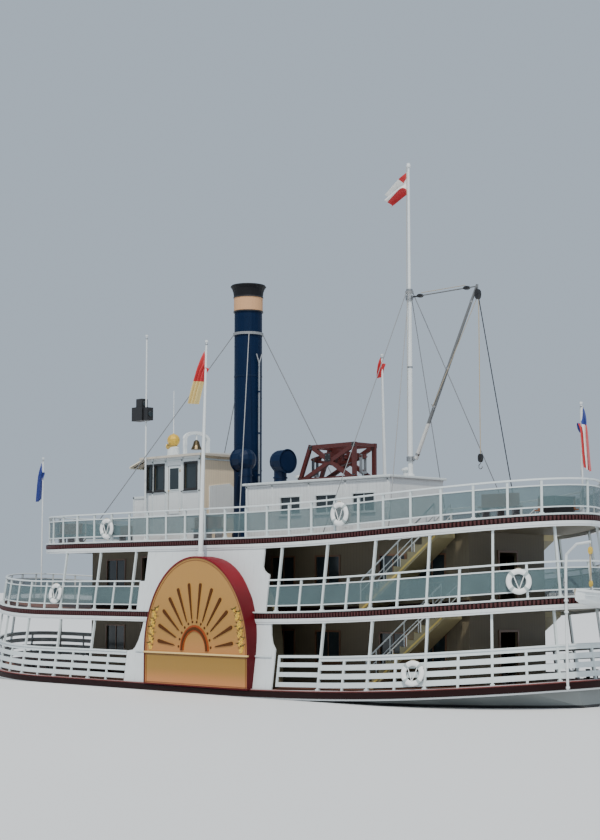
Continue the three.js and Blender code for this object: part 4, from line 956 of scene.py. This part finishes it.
@single("funnel_fittings")
def draw_funnel_fittings(build):
    x, radius = FUNNEL["x"], FUNNEL["radius"]
    inner, pipe_x = radius - 0.005, x - radius - 0.085
    for look, z, out, height in COLLARS:
        hoop(build, look, x, 0, z, ((radius - 0.006, -height), (radius + out, -height * 0.8),
                                    (radius + out, height * 0.8), (radius - 0.006, height)), 48)
    for z in (7.6, 10.2, 12.0, 14.0, 15.1):
        for a in circle(24, 0.5):
            way = Vector((math.cos(a), math.sin(a), 0))
            centre = Vector((x, 0, z)) + way * inner
            build.tube("navy", [centre, centre + way * 0.014], [0.016, 0.009], 6)
    build.tube("steel", [(pipe_x, 0, 6.52), (pipe_x, 0, 13.3)], 0.04, 12)
    for side in (-1, 1):
        path = [(pipe_x, side * y, z) for y, z in ((0, 13.28), (0.03, 13.38), (0.14, 13.66))]
        build.tube("steel", path, 0.026, 10)
    for z in (7.4, 9.0, 10.6, 12.2):
        build.bar("navy", (pipe_x + 0.02, 0, z), (x - radius + 0.01, 0, z), 0.05, 0.03)
        build.lathe("navy", (pipe_x, 0, z - 0.03), rectangle(0.041, 0.056, 0, 0.06), 16)


# Rig

MAST = dict(x=-6.735, collar=15.08)
TIP = Vector((-9.775, 0, 14.93))


def block_shell(build, centre, way, size, look="black"):
    """A rigging block: an oval body along way, with a sheave pin through it."""
    way, side = Vector(way).normalized(), Vector((0, 1, 0))
    up = way.cross(side)
    rings = []
    for along, wide in ((-1.0, 0.35), (-0.6, 0.85), (0, 1.0), (0.6, 0.85), (1.0, 0.35)):
        middle = centre + way * (size * along)
        rings.append([middle + side * (a * size * 0.42) + up * (b * size * 0.55 * wide)
                      for a, b in ((-1, -1), (1, -1), (1, 1), (-1, 1))])
    build.loft(look, rings)
    build.tube(look, [centre - side * size * 0.52, centre + side * size * 0.52], size * 0.2, 10)


@single("boom_tackle", body="boom")
def draw_boom_tackle(build):
    def from_tip(x, z):
        return TIP + Vector((x, 0, z))

    start = Vector((MAST["x"] - 0.124, 0, MAST["collar"] - 0.21))
    lift = from_tip(0.06, -0.06) - start
    for share in (0.13, 0.86):
        block_shell(build, start + lift * share, lift, 0.12)
    for height in (0, 0.1):
        build.tube("rope", [start + lift * share + UP * height for share in (0.15, 0.84)], 0.011, 6)
    build.tube("black", [start + lift * 0.02, start + lift * 0.12], 0.028, 8)
    block_shell(build, from_tip(-0.02, -0.34), UP, 0.17)
    build.tube("steel", [from_tip(-0.02, 0), from_tip(-0.02, -0.2)], 0.02, 8)
    hook = from_tip(-0.05, -5.75)
    build.tube("rope", [from_tip(-0.05, -0.42), hook], 0.016, 8)
    block_shell(build, hook - UP * 0.14, UP, 0.14)
    bend = [math.radians(90 - k * 22) for k in range(13)]
    curve = [hook + Vector((0.075 * math.cos(t), 0, -0.42 + 0.085 * math.sin(t))) for t in bend]
    build.tube("steel", [hook - UP * 0.26] + curve, 0.016, 8)
    guy_end = Vector((-11.25, 0, 7.3))
    build.tube("black", [from_tip(-0.06, -0.5), guy_end + Vector((0.02, 0, 0.1))], 0.017, 8)
    block_shell(build, guy_end, (0.18, 0, 1), 0.1)
    heel = Vector((MAST["x"] - 0.26, 0, 9.18))
    spar = TIP - heel
    cleat = heel + spar * 0.3
    build.tube("rope", [from_tip(0.02, -0.46), cleat + Vector((0, 0.085, 0.02))], 0.011, 6)
    build.tube("steel", [cleat + Vector((-0.05, 0.075, -0.1)), cleat + Vector((0.05, 0.075, 0.1))], 0.018, 8)
    for share in (0.02, 0.3, 0.52, 0.9):
        middle = heel + spar * share
        build.tube("steel", [middle, middle + spar.normalized() * 0.07], 0.083 - 0.03 * share, 12)


@single("mast_fittings")
def draw_mast_fittings(build):
    x, collar = MAST["x"], MAST["collar"]
    for z, radius, high in ((collar - 0.29, 0.125, 0.04), (collar + 0.06, 0.115, 0.03), (12.4, 0.097, 0.03)):
        build.lathe("steel", (x, 0, z), [(radius - 0.03, -high), (radius, -high * 0.8), (radius, high * 0.8),
                                         (radius - 0.03, high)], 20)
    truck = [(0.02, -0.02), (0.075, 0), (0.085, 0.05), (0.06, 0.09), (0.02, 0.12)]
    build.lathe("white", (x, 0, 19.55), truck, 16)
    for side in (-1, 1):
        build.tube("rope", [(x + 0.05, side * 0.1, 9.3), (x + 0.05, side * 0.055, 19.55)], 0.006, 5)
    build.tube("steel", [(x + 0.04, -0.14, 9.25), (x + 0.04, 0.14, 9.25)], 0.014, 8)


# Fittings of the poles: feet, collars, cleats and halyards

# Columns: name, foot, top, radius at the foot, radius at the top.
POLES = (
    ("jackstaff", (14.865, 0, 4.235), (14.865, 0, 10.46), 0.035, 0.0245),
    ("ensign_staff", (-13.9, 0, 7.048), (-13.9, 0, 10.59), 0.035, 0.0245),
    ("pilothouse_pole", (5.68, 1.68, 6.47), (5.68, 1.68, 14.74), 0.04, 0.028),
    ("paddle_pole_port", (-0.6, 4.3, 5.8), (-0.6, 4.06, 13.58), 0.095, 0.032),
    ("paddle_pole_starboard", (-1.75, -4.3, 5.6), (-1.75, -4.06, 13.8), 0.095, 0.032),
)


@single("pole_fittings")
def draw_pole_fittings(build):
    for name, foot, top, radius, thin in POLES:
        foot, top = Vector(foot), Vector(top)
        unit = (top - foot).normalized()
        build.tube("white", [foot + unit * 0.02, foot + unit * 0.14, foot + unit * 0.16],
                   [radius + 0.05, radius + 0.045, radius + 0.004], 16)
        build.tube("steel", [top - unit * 0.16, top - unit * 0.13], thin + 0.018, 12)
        cleat = foot + unit * 1.3 + Vector((radius + 0.01, 0, 0))
        build.tube("steel", [cleat - UP * 0.09, cleat + UP * 0.09], 0.012, 8)
        if name != "pilothouse_pole":
            ends = [cleat + Vector((0.008, 0, 0)), top - unit * 0.12 + Vector((thin + 0.012, 0, 0))]
            build.tube("halyard", ends, 0.007, 5)


# Flags of cloth

FLAG_ACROSS, FLAG_DOWN = 40, 28


def flag(name, node, hoist_top, hoist, fly, way, gather, folds, phase, colours, lean=0):
    """A flag that hangs from its hoist: the fly runs off along way (forward, down) and gathers in folds.

    gather is how far the fly end has closed up, 0 for a flat flag; colours(u, v) names the cloth of a patch.
    """
    top, down = Vector(hoist_top), -UP
    way = Vector((way[0], 0, -way[1])).normalized()
    start_way = Vector((way.x + math.copysign(0.55, way.x), 0, way.z * 0.6)).normalized()

    def turned(u):
        """The direction of the fly, which turns to way in the first quarter."""
        share = min(1.0, u * 4)
        return (start_way * (1 - share) + way * share).normalized()

    line = [Vector((0, 0, 0))]
    for i in range(FLAG_ACROSS):
        line.append(line[-1] + turned((i + 0.5) / FLAG_ACROSS) * (fly / FLAG_ACROSS))
    build = Build()
    for i in range(FLAG_ACROSS + 1):
        u = i / FLAG_ACROSS
        grow = 1 - (1 - min(1.0, u * 2.2)) ** 2
        turn = turned(u)
        side = Vector((-turn.z, 0, turn.x))
        if side.z > 0:
            side = -side
        chord = hoist * (1 - gather * grow)
        mixed = (down * (1 - grow) + side * grow).normalized()
        sag = hoist * 0.5 * gather * grow * 0.55
        # Fold depth that keeps the length of cloth across the folds equal to the hoist.
        swing = math.sqrt(max(0, hoist**2 - chord**2)) / (4 * folds) * 1.02
        for j in range(FLAG_DOWN + 1):
            v = j / FLAG_DOWN
            wave = math.sin(2 * math.pi * folds * v + phase + 1.3 * u)
            p = top + line[i] + mixed * (chord * v) + down * sag * (1 - v)
            p.y += swing * wave * min(1, u * 3) + 0.03 * math.sin(3 * u + phase) * u
            p.y += lean * (top.z - p.z)
            build.points.append(tuple(p))
    stride = FLAG_DOWN + 1
    for i in range(FLAG_ACROSS):
        for j in range(FLAG_DOWN):
            a = i * stride + j
            build.faces.append((a, a + 1, a + stride + 1, a + stride))
            build.looks.append("flag_" + colours((i + 0.5) / FLAG_ACROSS, (j + 0.5) / FLAG_DOWN))
    piece = build.object(name, crease=0, replaces=(node,))


def plain(colour):
    return lambda u, v: "heading" if u < 0.03 else colour


def port_colours(u, v):
    return "heading" if u < 0.03 else "red" if u < 0.58 else "cream"


def mast_colours(u, v):
    if u < 0.03:
        return "heading"
    return "red" if v > 0.62 or (u < 0.3 and v < 0.22) else "white"


def ensign_colours(u, v):
    if u < 0.28:
        return "heading" if u < 0.02 else "blue"
    return ("red", "white", "red")[min(2, int(v * 3))]


flag("flag_port", "paddle_flag_port", (-0.555, 4.066, 13.25), 0.95, 2.0, (0.42, 1.0),
     0.5, 2.5, 0.4, port_colours, lean=-0.01)
flag("flag_starboard", "paddle_flag_starboard", (-1.705, -4.065, 13.72), 0.62, 0.8,
     (0.22, 1.0), 0.55, 2.5, 1.0, plain("red"))
flag("flag_mast", "mast_pennant", (-6.68, 0.0, 19.4), 1.1, 1.25, (1.0, 0.5), 0.36, 1.5, 2.0,
     mast_colours)
flag("flag_bow", "jack_flag", (14.9, 0.03, 10.3), 0.9, 1.7, (0.12, 1.0), 0.70, 3, 0.2,
     plain("blue"))
flag("flag_stern", "ensign", (-13.93, 0.0, 10.5), 1.0, 2.0, (-0.06, 1.0), 0.74, 2.5, 0.4,
     ensign_colours)


# Life rings

# Columns: deck, x, height of the centre above the deck.
LIFE_RINGS = (("top", 5.42, 0.5), ("middle", 8.27, 0.6), ("top", -6.92, 0.57), ("main", -10.4, 0.5),
              ("middle", -13.18, 0.53))
RING_RADIUS, RING_THICKNESS = 0.31, 0.085


def edge_normal(deck, x, side):
    """Outward direction in plan of a deck's edge at x, and the edge's y there."""
    half = deck["half"]
    bow_centre, stern_centre = centres(deck)
    if stern_centre <= x <= bow_centre:
        return Vector((0, side, 0)), side * half
    centre, run = (bow_centre, deck["bow_run"]) if x > bow_centre else (stern_centre, deck["stern_run"])
    share = (x - centre) / run
    y = half * math.sqrt(max(0, 1 - share**2))
    return Vector((share / run, side * y / half**2, 0)).normalized(), side * y


def life_ring(build, deck_name, x, height, side):
    deck, lean = DECKS[deck_name], 0 if deck_name == "top" else LEAN
    out, y = edge_normal(deck, x, side)
    shift = -0.035 - lean * height + RING_THICKNESS * 0.7
    centre = Vector((x, y, deck["z"] + sheer(x) + height)) + out * shift
    along, up = Vector((-out.y, out.x, 0)), UP - out * lean

    def section(a, thick):
        radial = along * math.cos(a) + up * math.sin(a)
        return [centre + radial * (RING_RADIUS + thick * math.cos(b)) + out * (thick * 0.7 * math.sin(b))
                for b in circle(12)]

    build.loft("ring", [section(a, RING_THICKNESS) for a in circle(36)], closed=True)
    for k in range(4):
        a = math.pi / 4 + k * math.pi / 2
        build.loft("strap", [section(a + step * 0.045, RING_THICKNESS + 0.006) for step in range(-3, 4)])
    for turn in (-1, 1):
        build.tube("ring", [centre + along * (0.16 * turn) + up * 0.17 + out * 0.03,
                            centre - up * 0.24 + out * 0.03], 0.014, 6)
        build.tube("rope", [centre + along * (0.2 * turn) + up * 0.24 + out * 0.04,
                            centre + along * (0.05 * turn) + up * 0.4 + out * 0.01], 0.01, 5)
    hook = centre + up * 0.4 + out * 0.01
    build.tube("rope", [hook - along * 0.07, hook + along * 0.07], 0.014, 6)


@single("life_rings")
def draw_life_rings(build):
    for deck_name, x, height in LIFE_RINGS:
        for side in (-1, 1):
            life_ring(build, deck_name, x, height, side)


# Stairs

STAIR = dict(inner=2.2, outer=3.1, risers=12)
# Columns: lower deck, upper deck, x of the foot, x of the head.
STAIRWAYS = (("main", "middle", -7.4, -11.05), ("middle", "top", -7.15, -10.8))


def stair_rails(low_name, high_name, foot_x, head_x):
    low, high = DECKS[low_name], DECKS[high_name]
    inner, outer = STAIR["inner"], STAIR["outer"]
    foot_z = low["z"] + sheer(foot_x - 0.36)
    going = (foot_x - head_x) / STAIR["risers"]
    step = (high["z"] + sheer(head_x) - foot_z) / STAIR["risers"]
    build = Build()

    def at(n, y, up):
        return foot_x - going * n, y, foot_z + step * n + up

    for side in (-1, 1):
        for y in (side * (inner + 0.045), side * (outer - 0.045)):
            rail = ((0.1, 0.2), (0.1, 0.86), (0.4, 0.92), (10.6, 0.92), (10.6, 0.2))
            build.tube("rail", [at(n, y, up) for n, up in rail], 0.026, 10)
            build.tube("rail", [at(0.1, y, 0.55), at(10.6, y, 0.55)], 0.016, 8)
            for n in (1.5, 3.5, 5.5, 7.5, 9.5):
                build.tube("rail", [at(n, y, 0.06), at(n, y, 0.92)], 0.016, 8)
        for n in range(1, 11):
            x, z = foot_x - going * (n - 1), foot_z + step * n
            build.box("stair_edge", (x - 0.05, side * (inner + 0.01), z + 0.001),
                      (x + 0.012, side * (outer - 0.01), z + 0.012))
            build.box("deck", (x - going + 0.01, side * (inner + 0.05), z + 0.001),
                      (x - 0.055, side * (outer - 0.05), z + 0.006))
        top = at(10.8, 0, 0)[0], foot_z + step * 10.3
        outline = [(foot_x - going * 0.3, foot_z + 0.03), top, (top[0], top[1] - 0.06),
                   (foot_x - going * 0.7, foot_z + 0.03)]
        for y in (inner - 0.012, outer + 0.001):
            build.plate("stair_edge", outline, *sorted((side * y, side * (y + 0.011))))
    build.object("stair_rails_" + low_name)


for row in STAIRWAYS:
    stair_rails(*row)


# Stern gear: dinghy and davits

DINGHY = dict(x=-15.07, rim=4.58, length=4.3, beam=1.2)
# Columns: place along the dinghy, half width, both as shares, and rise of the rim.
DINGHY_SECTIONS = ((-1, 0.62, 0.03), (-0.6, 0.92, 0), (0, 1.0, 0), (0.6, 0.8, 0.03), (0.9, 0.35, 0.09),
                   (1, 0.06, 0.12))
GUNWALE = ((-0.05, 0.022), (0.028, 0.022), (0.028, -0.05), (0.004, -0.055), (0.004, 0), (-0.05, 0))
DAVIT_X, DAVIT_Y = -14.15, 1.33


@single("dinghy_trim")
def draw_dinghy_trim(build):
    x = DINGHY["x"]
    for side in (-1, 1):
        gunwale, strake = [], []
        for along, wide, rise in DINGHY_SECTIONS:
            y, half, top = along * DINGHY["length"] / 2, wide * DINGHY["beam"] / 2, DINGHY["rim"] + rise
            gunwale.append([(x + side * (half + out), y, top + up) for out, up in GUNWALE])
            strake.append([(x + side * (half * 0.93 + out), y, top + up)
                           for out, up in ((0, -0.14), (0.03, -0.13), (0.03, -0.16), (0, -0.17))])
        build.loft("white", gunwale)
        build.loft("rail", strake[:5])
    for y in (-DAVIT_Y, DAVIT_Y):
        block_shell(build, Vector((x, y, 5.86)), UP, 0.11, "yellow")
        block_shell(build, Vector((x, y, 4.86)), UP, 0.09, "yellow")
        build.tube("rope", [(x + 0.03, y, 4.9), (x + 0.03, y, 5.8)], 0.011, 6)
        build.tube("steel", [(x, y, 4.72), (x, y, 4.5)], 0.022, 8)


@single("davit_fittings")
def draw_davit_fittings(build):
    for y in (-DAVIT_Y, DAVIT_Y):
        for z in (1.72, 4.0, 4.35):
            build.lathe("white", (DAVIT_X, y, z), rectangle(0.046, 0.07, -0.03, 0.03), 16)
        build.tube("steel", [(DAVIT_X, y + 0.05, 4.9), (DAVIT_X, y + 0.13, 4.9)], 0.014, 8)
        build.tube("steel", [(DAVIT_X, y + 0.12, 4.78), (DAVIT_X, y + 0.12, 5.02)], 0.016, 8)


# Lamps and horn

POLE_X, POLE_Y = 5.68, 1.68


@single("lamp_lenses")
def draw_lamp_lenses(build):
    """Round lenses on the fore and aft faces of the lamp boxes."""
    rim = [(0, 0), (0.11, 0), (0.11, 0.03), (0.07, 0.012), (0, 0.02)]
    for x, z, out in ((6.335, 11.58, 1), (6.125, 12.0, 1), (5.425, 11.57, -1), (5.775, 12.0, -1)):
        build.lathe("glass", (x, POLE_Y, z), [(radius, out * along) for radius, along in rim[::out]], 16, "X")


@single("horn")
def draw_horn(build):
    """A trumpet horn on the pilothouse roof, on a slanted bracket."""
    bell = [(0, -0.25), (0.03, -0.24), (0.035, 0), (0.05, 0.16), (0.1, 0.3), (0.115, 0.31), (0.085, 0.285),
            (0, 0.1)]
    build.lathe("brass", (5.35, 0.55, 10.35), bell, 16, "X")
    build.tube("white", [(5.3, 0.55, 9.94), (5.3, 0.55, 10.33)], 0.02, 8)
    build.tube("white", [(5.0, 0.55, 9.94), (5.28, 0.55, 10.25)], 0.015, 8)


# Deck fittings and machinery

# Profiles of (radius, height) pairs.
BOLLARD = [(0, 0), (0.07, 0), (0.06, 0.03), (0.06, 0.22), (0.085, 0.25), (0.085, 0.28), (0, 0.29)]
CAPSTAN = [(0, 0), (0.26, 0), (0.24, 0.06), (0.15, 0.12), (0.14, 0.38), (0.22, 0.45), (0.24, 0.5), (0.22, 0.54),
           (0, 0.56)]
FIRE_DOOR = [(0, 0), (0.32, 0), (0.32, 0.03), (0.27, 0.05), (0, 0.07)]
CYLINDER_HEAD = [(0, 0), (0.42, 0), (0.42, 0.05), (0.34, 0.07), (0.3, 0.12), (0, 0.12)]


def pairs(*rows):
    """Each (x, y) to port and to starboard."""
    return [(x, side * y) for x, y in rows for side in (1, -1)]


def bollard(build, x, y, z):
    build.box("black", (x - 0.28, y - 0.09, z), (x + 0.28, y + 0.09, z + 0.03))
    for dx in (-0.16, 0.16):
        build.lathe("black", (x + dx, y, z + 0.03), BOLLARD, 16)


def bench(build, x, y, z):
    build.box("wood", (x - 0.75, y - 0.2, z + 0.4), (x + 0.75, y + 0.2, z + 0.45))
    build.box("wood", (x - 0.75, y - 0.02, z + 0.45), (x + 0.75, y + 0.02, z + 0.85))
    for dx in (-0.6, 0, 0.6):
        build.box("steel", (x + dx - 0.03, y - 0.17, z), (x + dx + 0.03, y + 0.17, z + 0.4))


@single("deck_fittings", bevel=0.006)
def draw_deck_fittings(build):
    main, top = DECKS["main"]["z"], DECKS["top"]["z"]
    for x, y in pairs((12.3, 2.3), (-12.6, 2.2), (9.6, 3.3)):
        bollard(build, x, y, main + sheer(x))
    z = main + sheer(11.2)
    build.box("black", (10.9, -0.35, z), (11.5, 0.35, z + 0.12))
    build.lathe("black", (11.2, 0, z + 0.12), CAPSTAN, 24)
    for x, y in pairs((10.6, 1.6), (0.9, -2.6), (-11.8, 1.5)):
        bench(build, x, y, top + sheer(x))
    z = top + sheer(-12.9)
    build.box("black", (-13.2, -0.5, z), (-12.6, 0.5, z + 0.62))
    build.box("black", (-13.24, -0.54, z + 0.62), (-12.56, 0.54, z + 0.68))


@single("machinery_details", bevel=0.003)
def draw_machinery_details(build):
    """Flanges, bands, doors and pipes on the plain blocks of the engine and the boiler."""
    for x in (0.45, 1.1, 1.75, 2.4, 3.05, 3.55):
        for low, high in (((-0.965, 1.33), (-0.951, 3.1)), ((0.951, 1.33), (0.965, 3.1)),
                          ((-0.965, 3.116), (0.965, 3.13))):
            build.box("steel", (x - 0.03, *low), (x + 0.03, *high))
    for y in (-0.5, 0.5):
        build.lathe("black", (3.7, y, 1.9), FIRE_DOOR, 28, "X")
        build.tube("steel", [(3.78, y - 0.2, 1.9), (3.78, y + 0.2, 1.9)], 0.014, 8)
    build.tube("brass", [(0.3, 0, 3.0), (-0.4, 0, 3.0), (-2.6, 0, 3.0), (-3.3, 0, 2.9)], 0.09, 16)
    for x in (-6.3, -5.5, -4.7, -3.9):
        for side in (1, -1):
            build.box("steel", (x - 0.04, side * 0.801, 1.4), (x + 0.04, side * 0.83, 3.05))
    build.lathe("black", (-4.95, 0, 3.116), CYLINDER_HEAD, 28)


def wheel_hub(side, sign):
    """Flanges and bolts on the hub of one paddle wheel, turning with it."""
    build = Build()
    x, z = PADDLE["x"], PADDLE["z"]
    for y in (3.06, 4.35):
        build.lathe("black", (x, sign * y, z), rectangle(0.09, 0.26, -0.02, 0.02), 24, "Y")
    for a in circle(8):
        build.lathe("steel", (x + 0.2 * math.cos(a), sign * 4.37, z + 0.2 * math.sin(a)),
                    [(0, 0), (0.024, 0), (0.024, sign * 0.018), (0, sign * 0.024)], 6, "Y")
    build.object("wheel_hub_" + side, body="paddle_wheels")


for side, sign in SIDES:
    wheel_hub(side, sign)


# Finishes of the frame's own solids

# The nodes of each look; a name that ends with _ stands for one on each side.
PLAIN_FINISHES = {
    "steel": "engine paddle_shaft crank_rod piston_rod", "black": "boiler", "funnel": "funnel",
    "oxide": "rudder gallows_frame walking_beam", "red": "paddle_wheel_", "wire": "mast_stays funnel_stays",
    "navy": "cowl_fore cowl_aft", "white_boards": "deckhouse", "wood": "house_door_", "rail": "gate_",
    "white": "mast jackstaff ensign_staff davit_ paddle_pole_ pilothouse_door_",
    "stair": "stairs_to_middle_ stairs_to_top_",
}


def finish_node(node, looks, choose=None):
    """Gives a CAD node its materials; choose picks one by a face's normal and centre."""
    mesh = NODES[node].data
    mesh.materials.clear()
    for look in looks:
        mesh.materials.append(LOOKS[look])
    if choose:
        for face in mesh.polygons:
            face.material_index = looks.index(choose(face.normal, face.center))
    mesh.polygons.foreach_set("use_smooth", [True] * len(mesh.polygons))
    mesh.set_sharp_from_angle(angle=math.radians(32))


# Undersides of the decks take the dark ceiling look, a painted shade.
def deck_face(normal, centre):
    return "deck" if normal.z > 0.5 else "ceiling" if normal.z < -0.5 else "white"


# Inner faces take the dark inside look and outer faces the dark SHADED_CREAM walls: painted shade of the
# promenades.
def house_face(normal, centre):
    sideways = abs(normal.y) > 0.5
    middle = (HOUSE["fore"] + HOUSE["aft"]) / 2
    if normal.y * centre.y < 0 if sideways else normal.x * (centre.x - middle) < 0:
        return "inside"
    return "wall" if sideways else "wall_across"


# Shell faces deeper in than 3.95 m take the dark inside look: painted shade inside the box.
def paddle_face(normal, centre):
    out = abs(centre.y)
    if out > PADDLE["face"] - 0.005 and abs(normal.y) > 0.9:
        return "tan"
    across, up = (centre.x - PADDLE["x"]) / PADDLE["half"], max(0, centre.z - PADDLE["z"]) / PADDLE["rise"]
    if 0.93 < across**2 + up**2 < 1.07 and abs(normal.y) < 0.5 and out < PADDLE["face"]:
        return "red" if out > 3.95 else "inside"
    return "white"


def roof_face(normal, centre):
    return "awning" if centre.x > CABIN["fore"] + 0.14 else "white"


# Inner faces of the pilothouse take the dark inside look: painted shade.
def cabin_face(normal, centre):
    if normal.x < -0.8 and centre.x < CABIN["aft"] + 0.02:
        return "cabin_aft"
    if 3.8 < centre.x < 4.7 and abs(centre.y) > 1.41 and normal.z > 0.8:
        return "deck"
    inside = CABIN["aft"] + 0.02 < centre.x < CABIN["fore"] - 0.02 and abs(centre.y) < CABIN["half"] - 0.02
    return "inside" if inside else "white"


def bell_face(normal, centre):
    return "bell" if abs(centre.y) < 0.26 and centre.z < 10.6 else "white"


def boom_face(normal, centre):
    return "steel" if centre.x > MAST["x"] - 0.2 else "boom"


def dinghy_face(normal, centre):
    along = abs(centre.x - DINGHY["x"])
    if along < 0.46 and 4.4 < centre.z < 4.46 and abs(normal.z) > 0.9:
        return "wood"
    return "rope" if centre.z > 4.62 and along < 0.03 else "white"


def ball_face(normal, centre):
    return "gold" if 10.395 < centre.z < 10.93 else "white"


def lamp_face(normal, centre):
    off_pole = abs(centre.y - POLE_Y) > 0.08 or abs(centre.x - POLE_X) > 0.08
    return "black" if 11.25 < centre.z < 12.25 and off_pole else "white"


# Columns: nodes, the looks that their faces have, and the function that names a face's look.
FACED_FINISHES = (
    ("main_deck middle_deck top_deck", "deck ceiling white", deck_face),
    ("main_house middle_house", "wall wall_across inside", house_face),
    ("paddle_box_", "white tan red inside", paddle_face), ("pilothouse_roof", "white awning", roof_face),
    ("pilothouse", "white cabin_aft deck inside", cabin_face), ("belfry", "white bell", bell_face),
    ("boom", "boom steel", boom_face), ("dinghy", "white wood rope", dinghy_face),
    ("signal_ball", "gold white", ball_face), ("pilothouse_pole", "white black", lamp_face),
)


def both_sides(names):
    """The node names in a text, with port and starboard added where one ends with _."""
    ends = {True: ("port", "starboard"), False: ("",)}
    return [name + end for name in names.split() for end in ends[name.endswith("_")]]


NODES["hull"].data.materials.clear()
NODES["hull"].data.materials.append(LOOKS["hull"])
for look, nodes in PLAIN_FINISHES.items():
    for node in both_sides(nodes):
        finish_node(node, (look,))
for nodes, looks, choose in FACED_FINISHES:
    for node in both_sides(nodes):
        finish_node(node, looks.split(), choose)
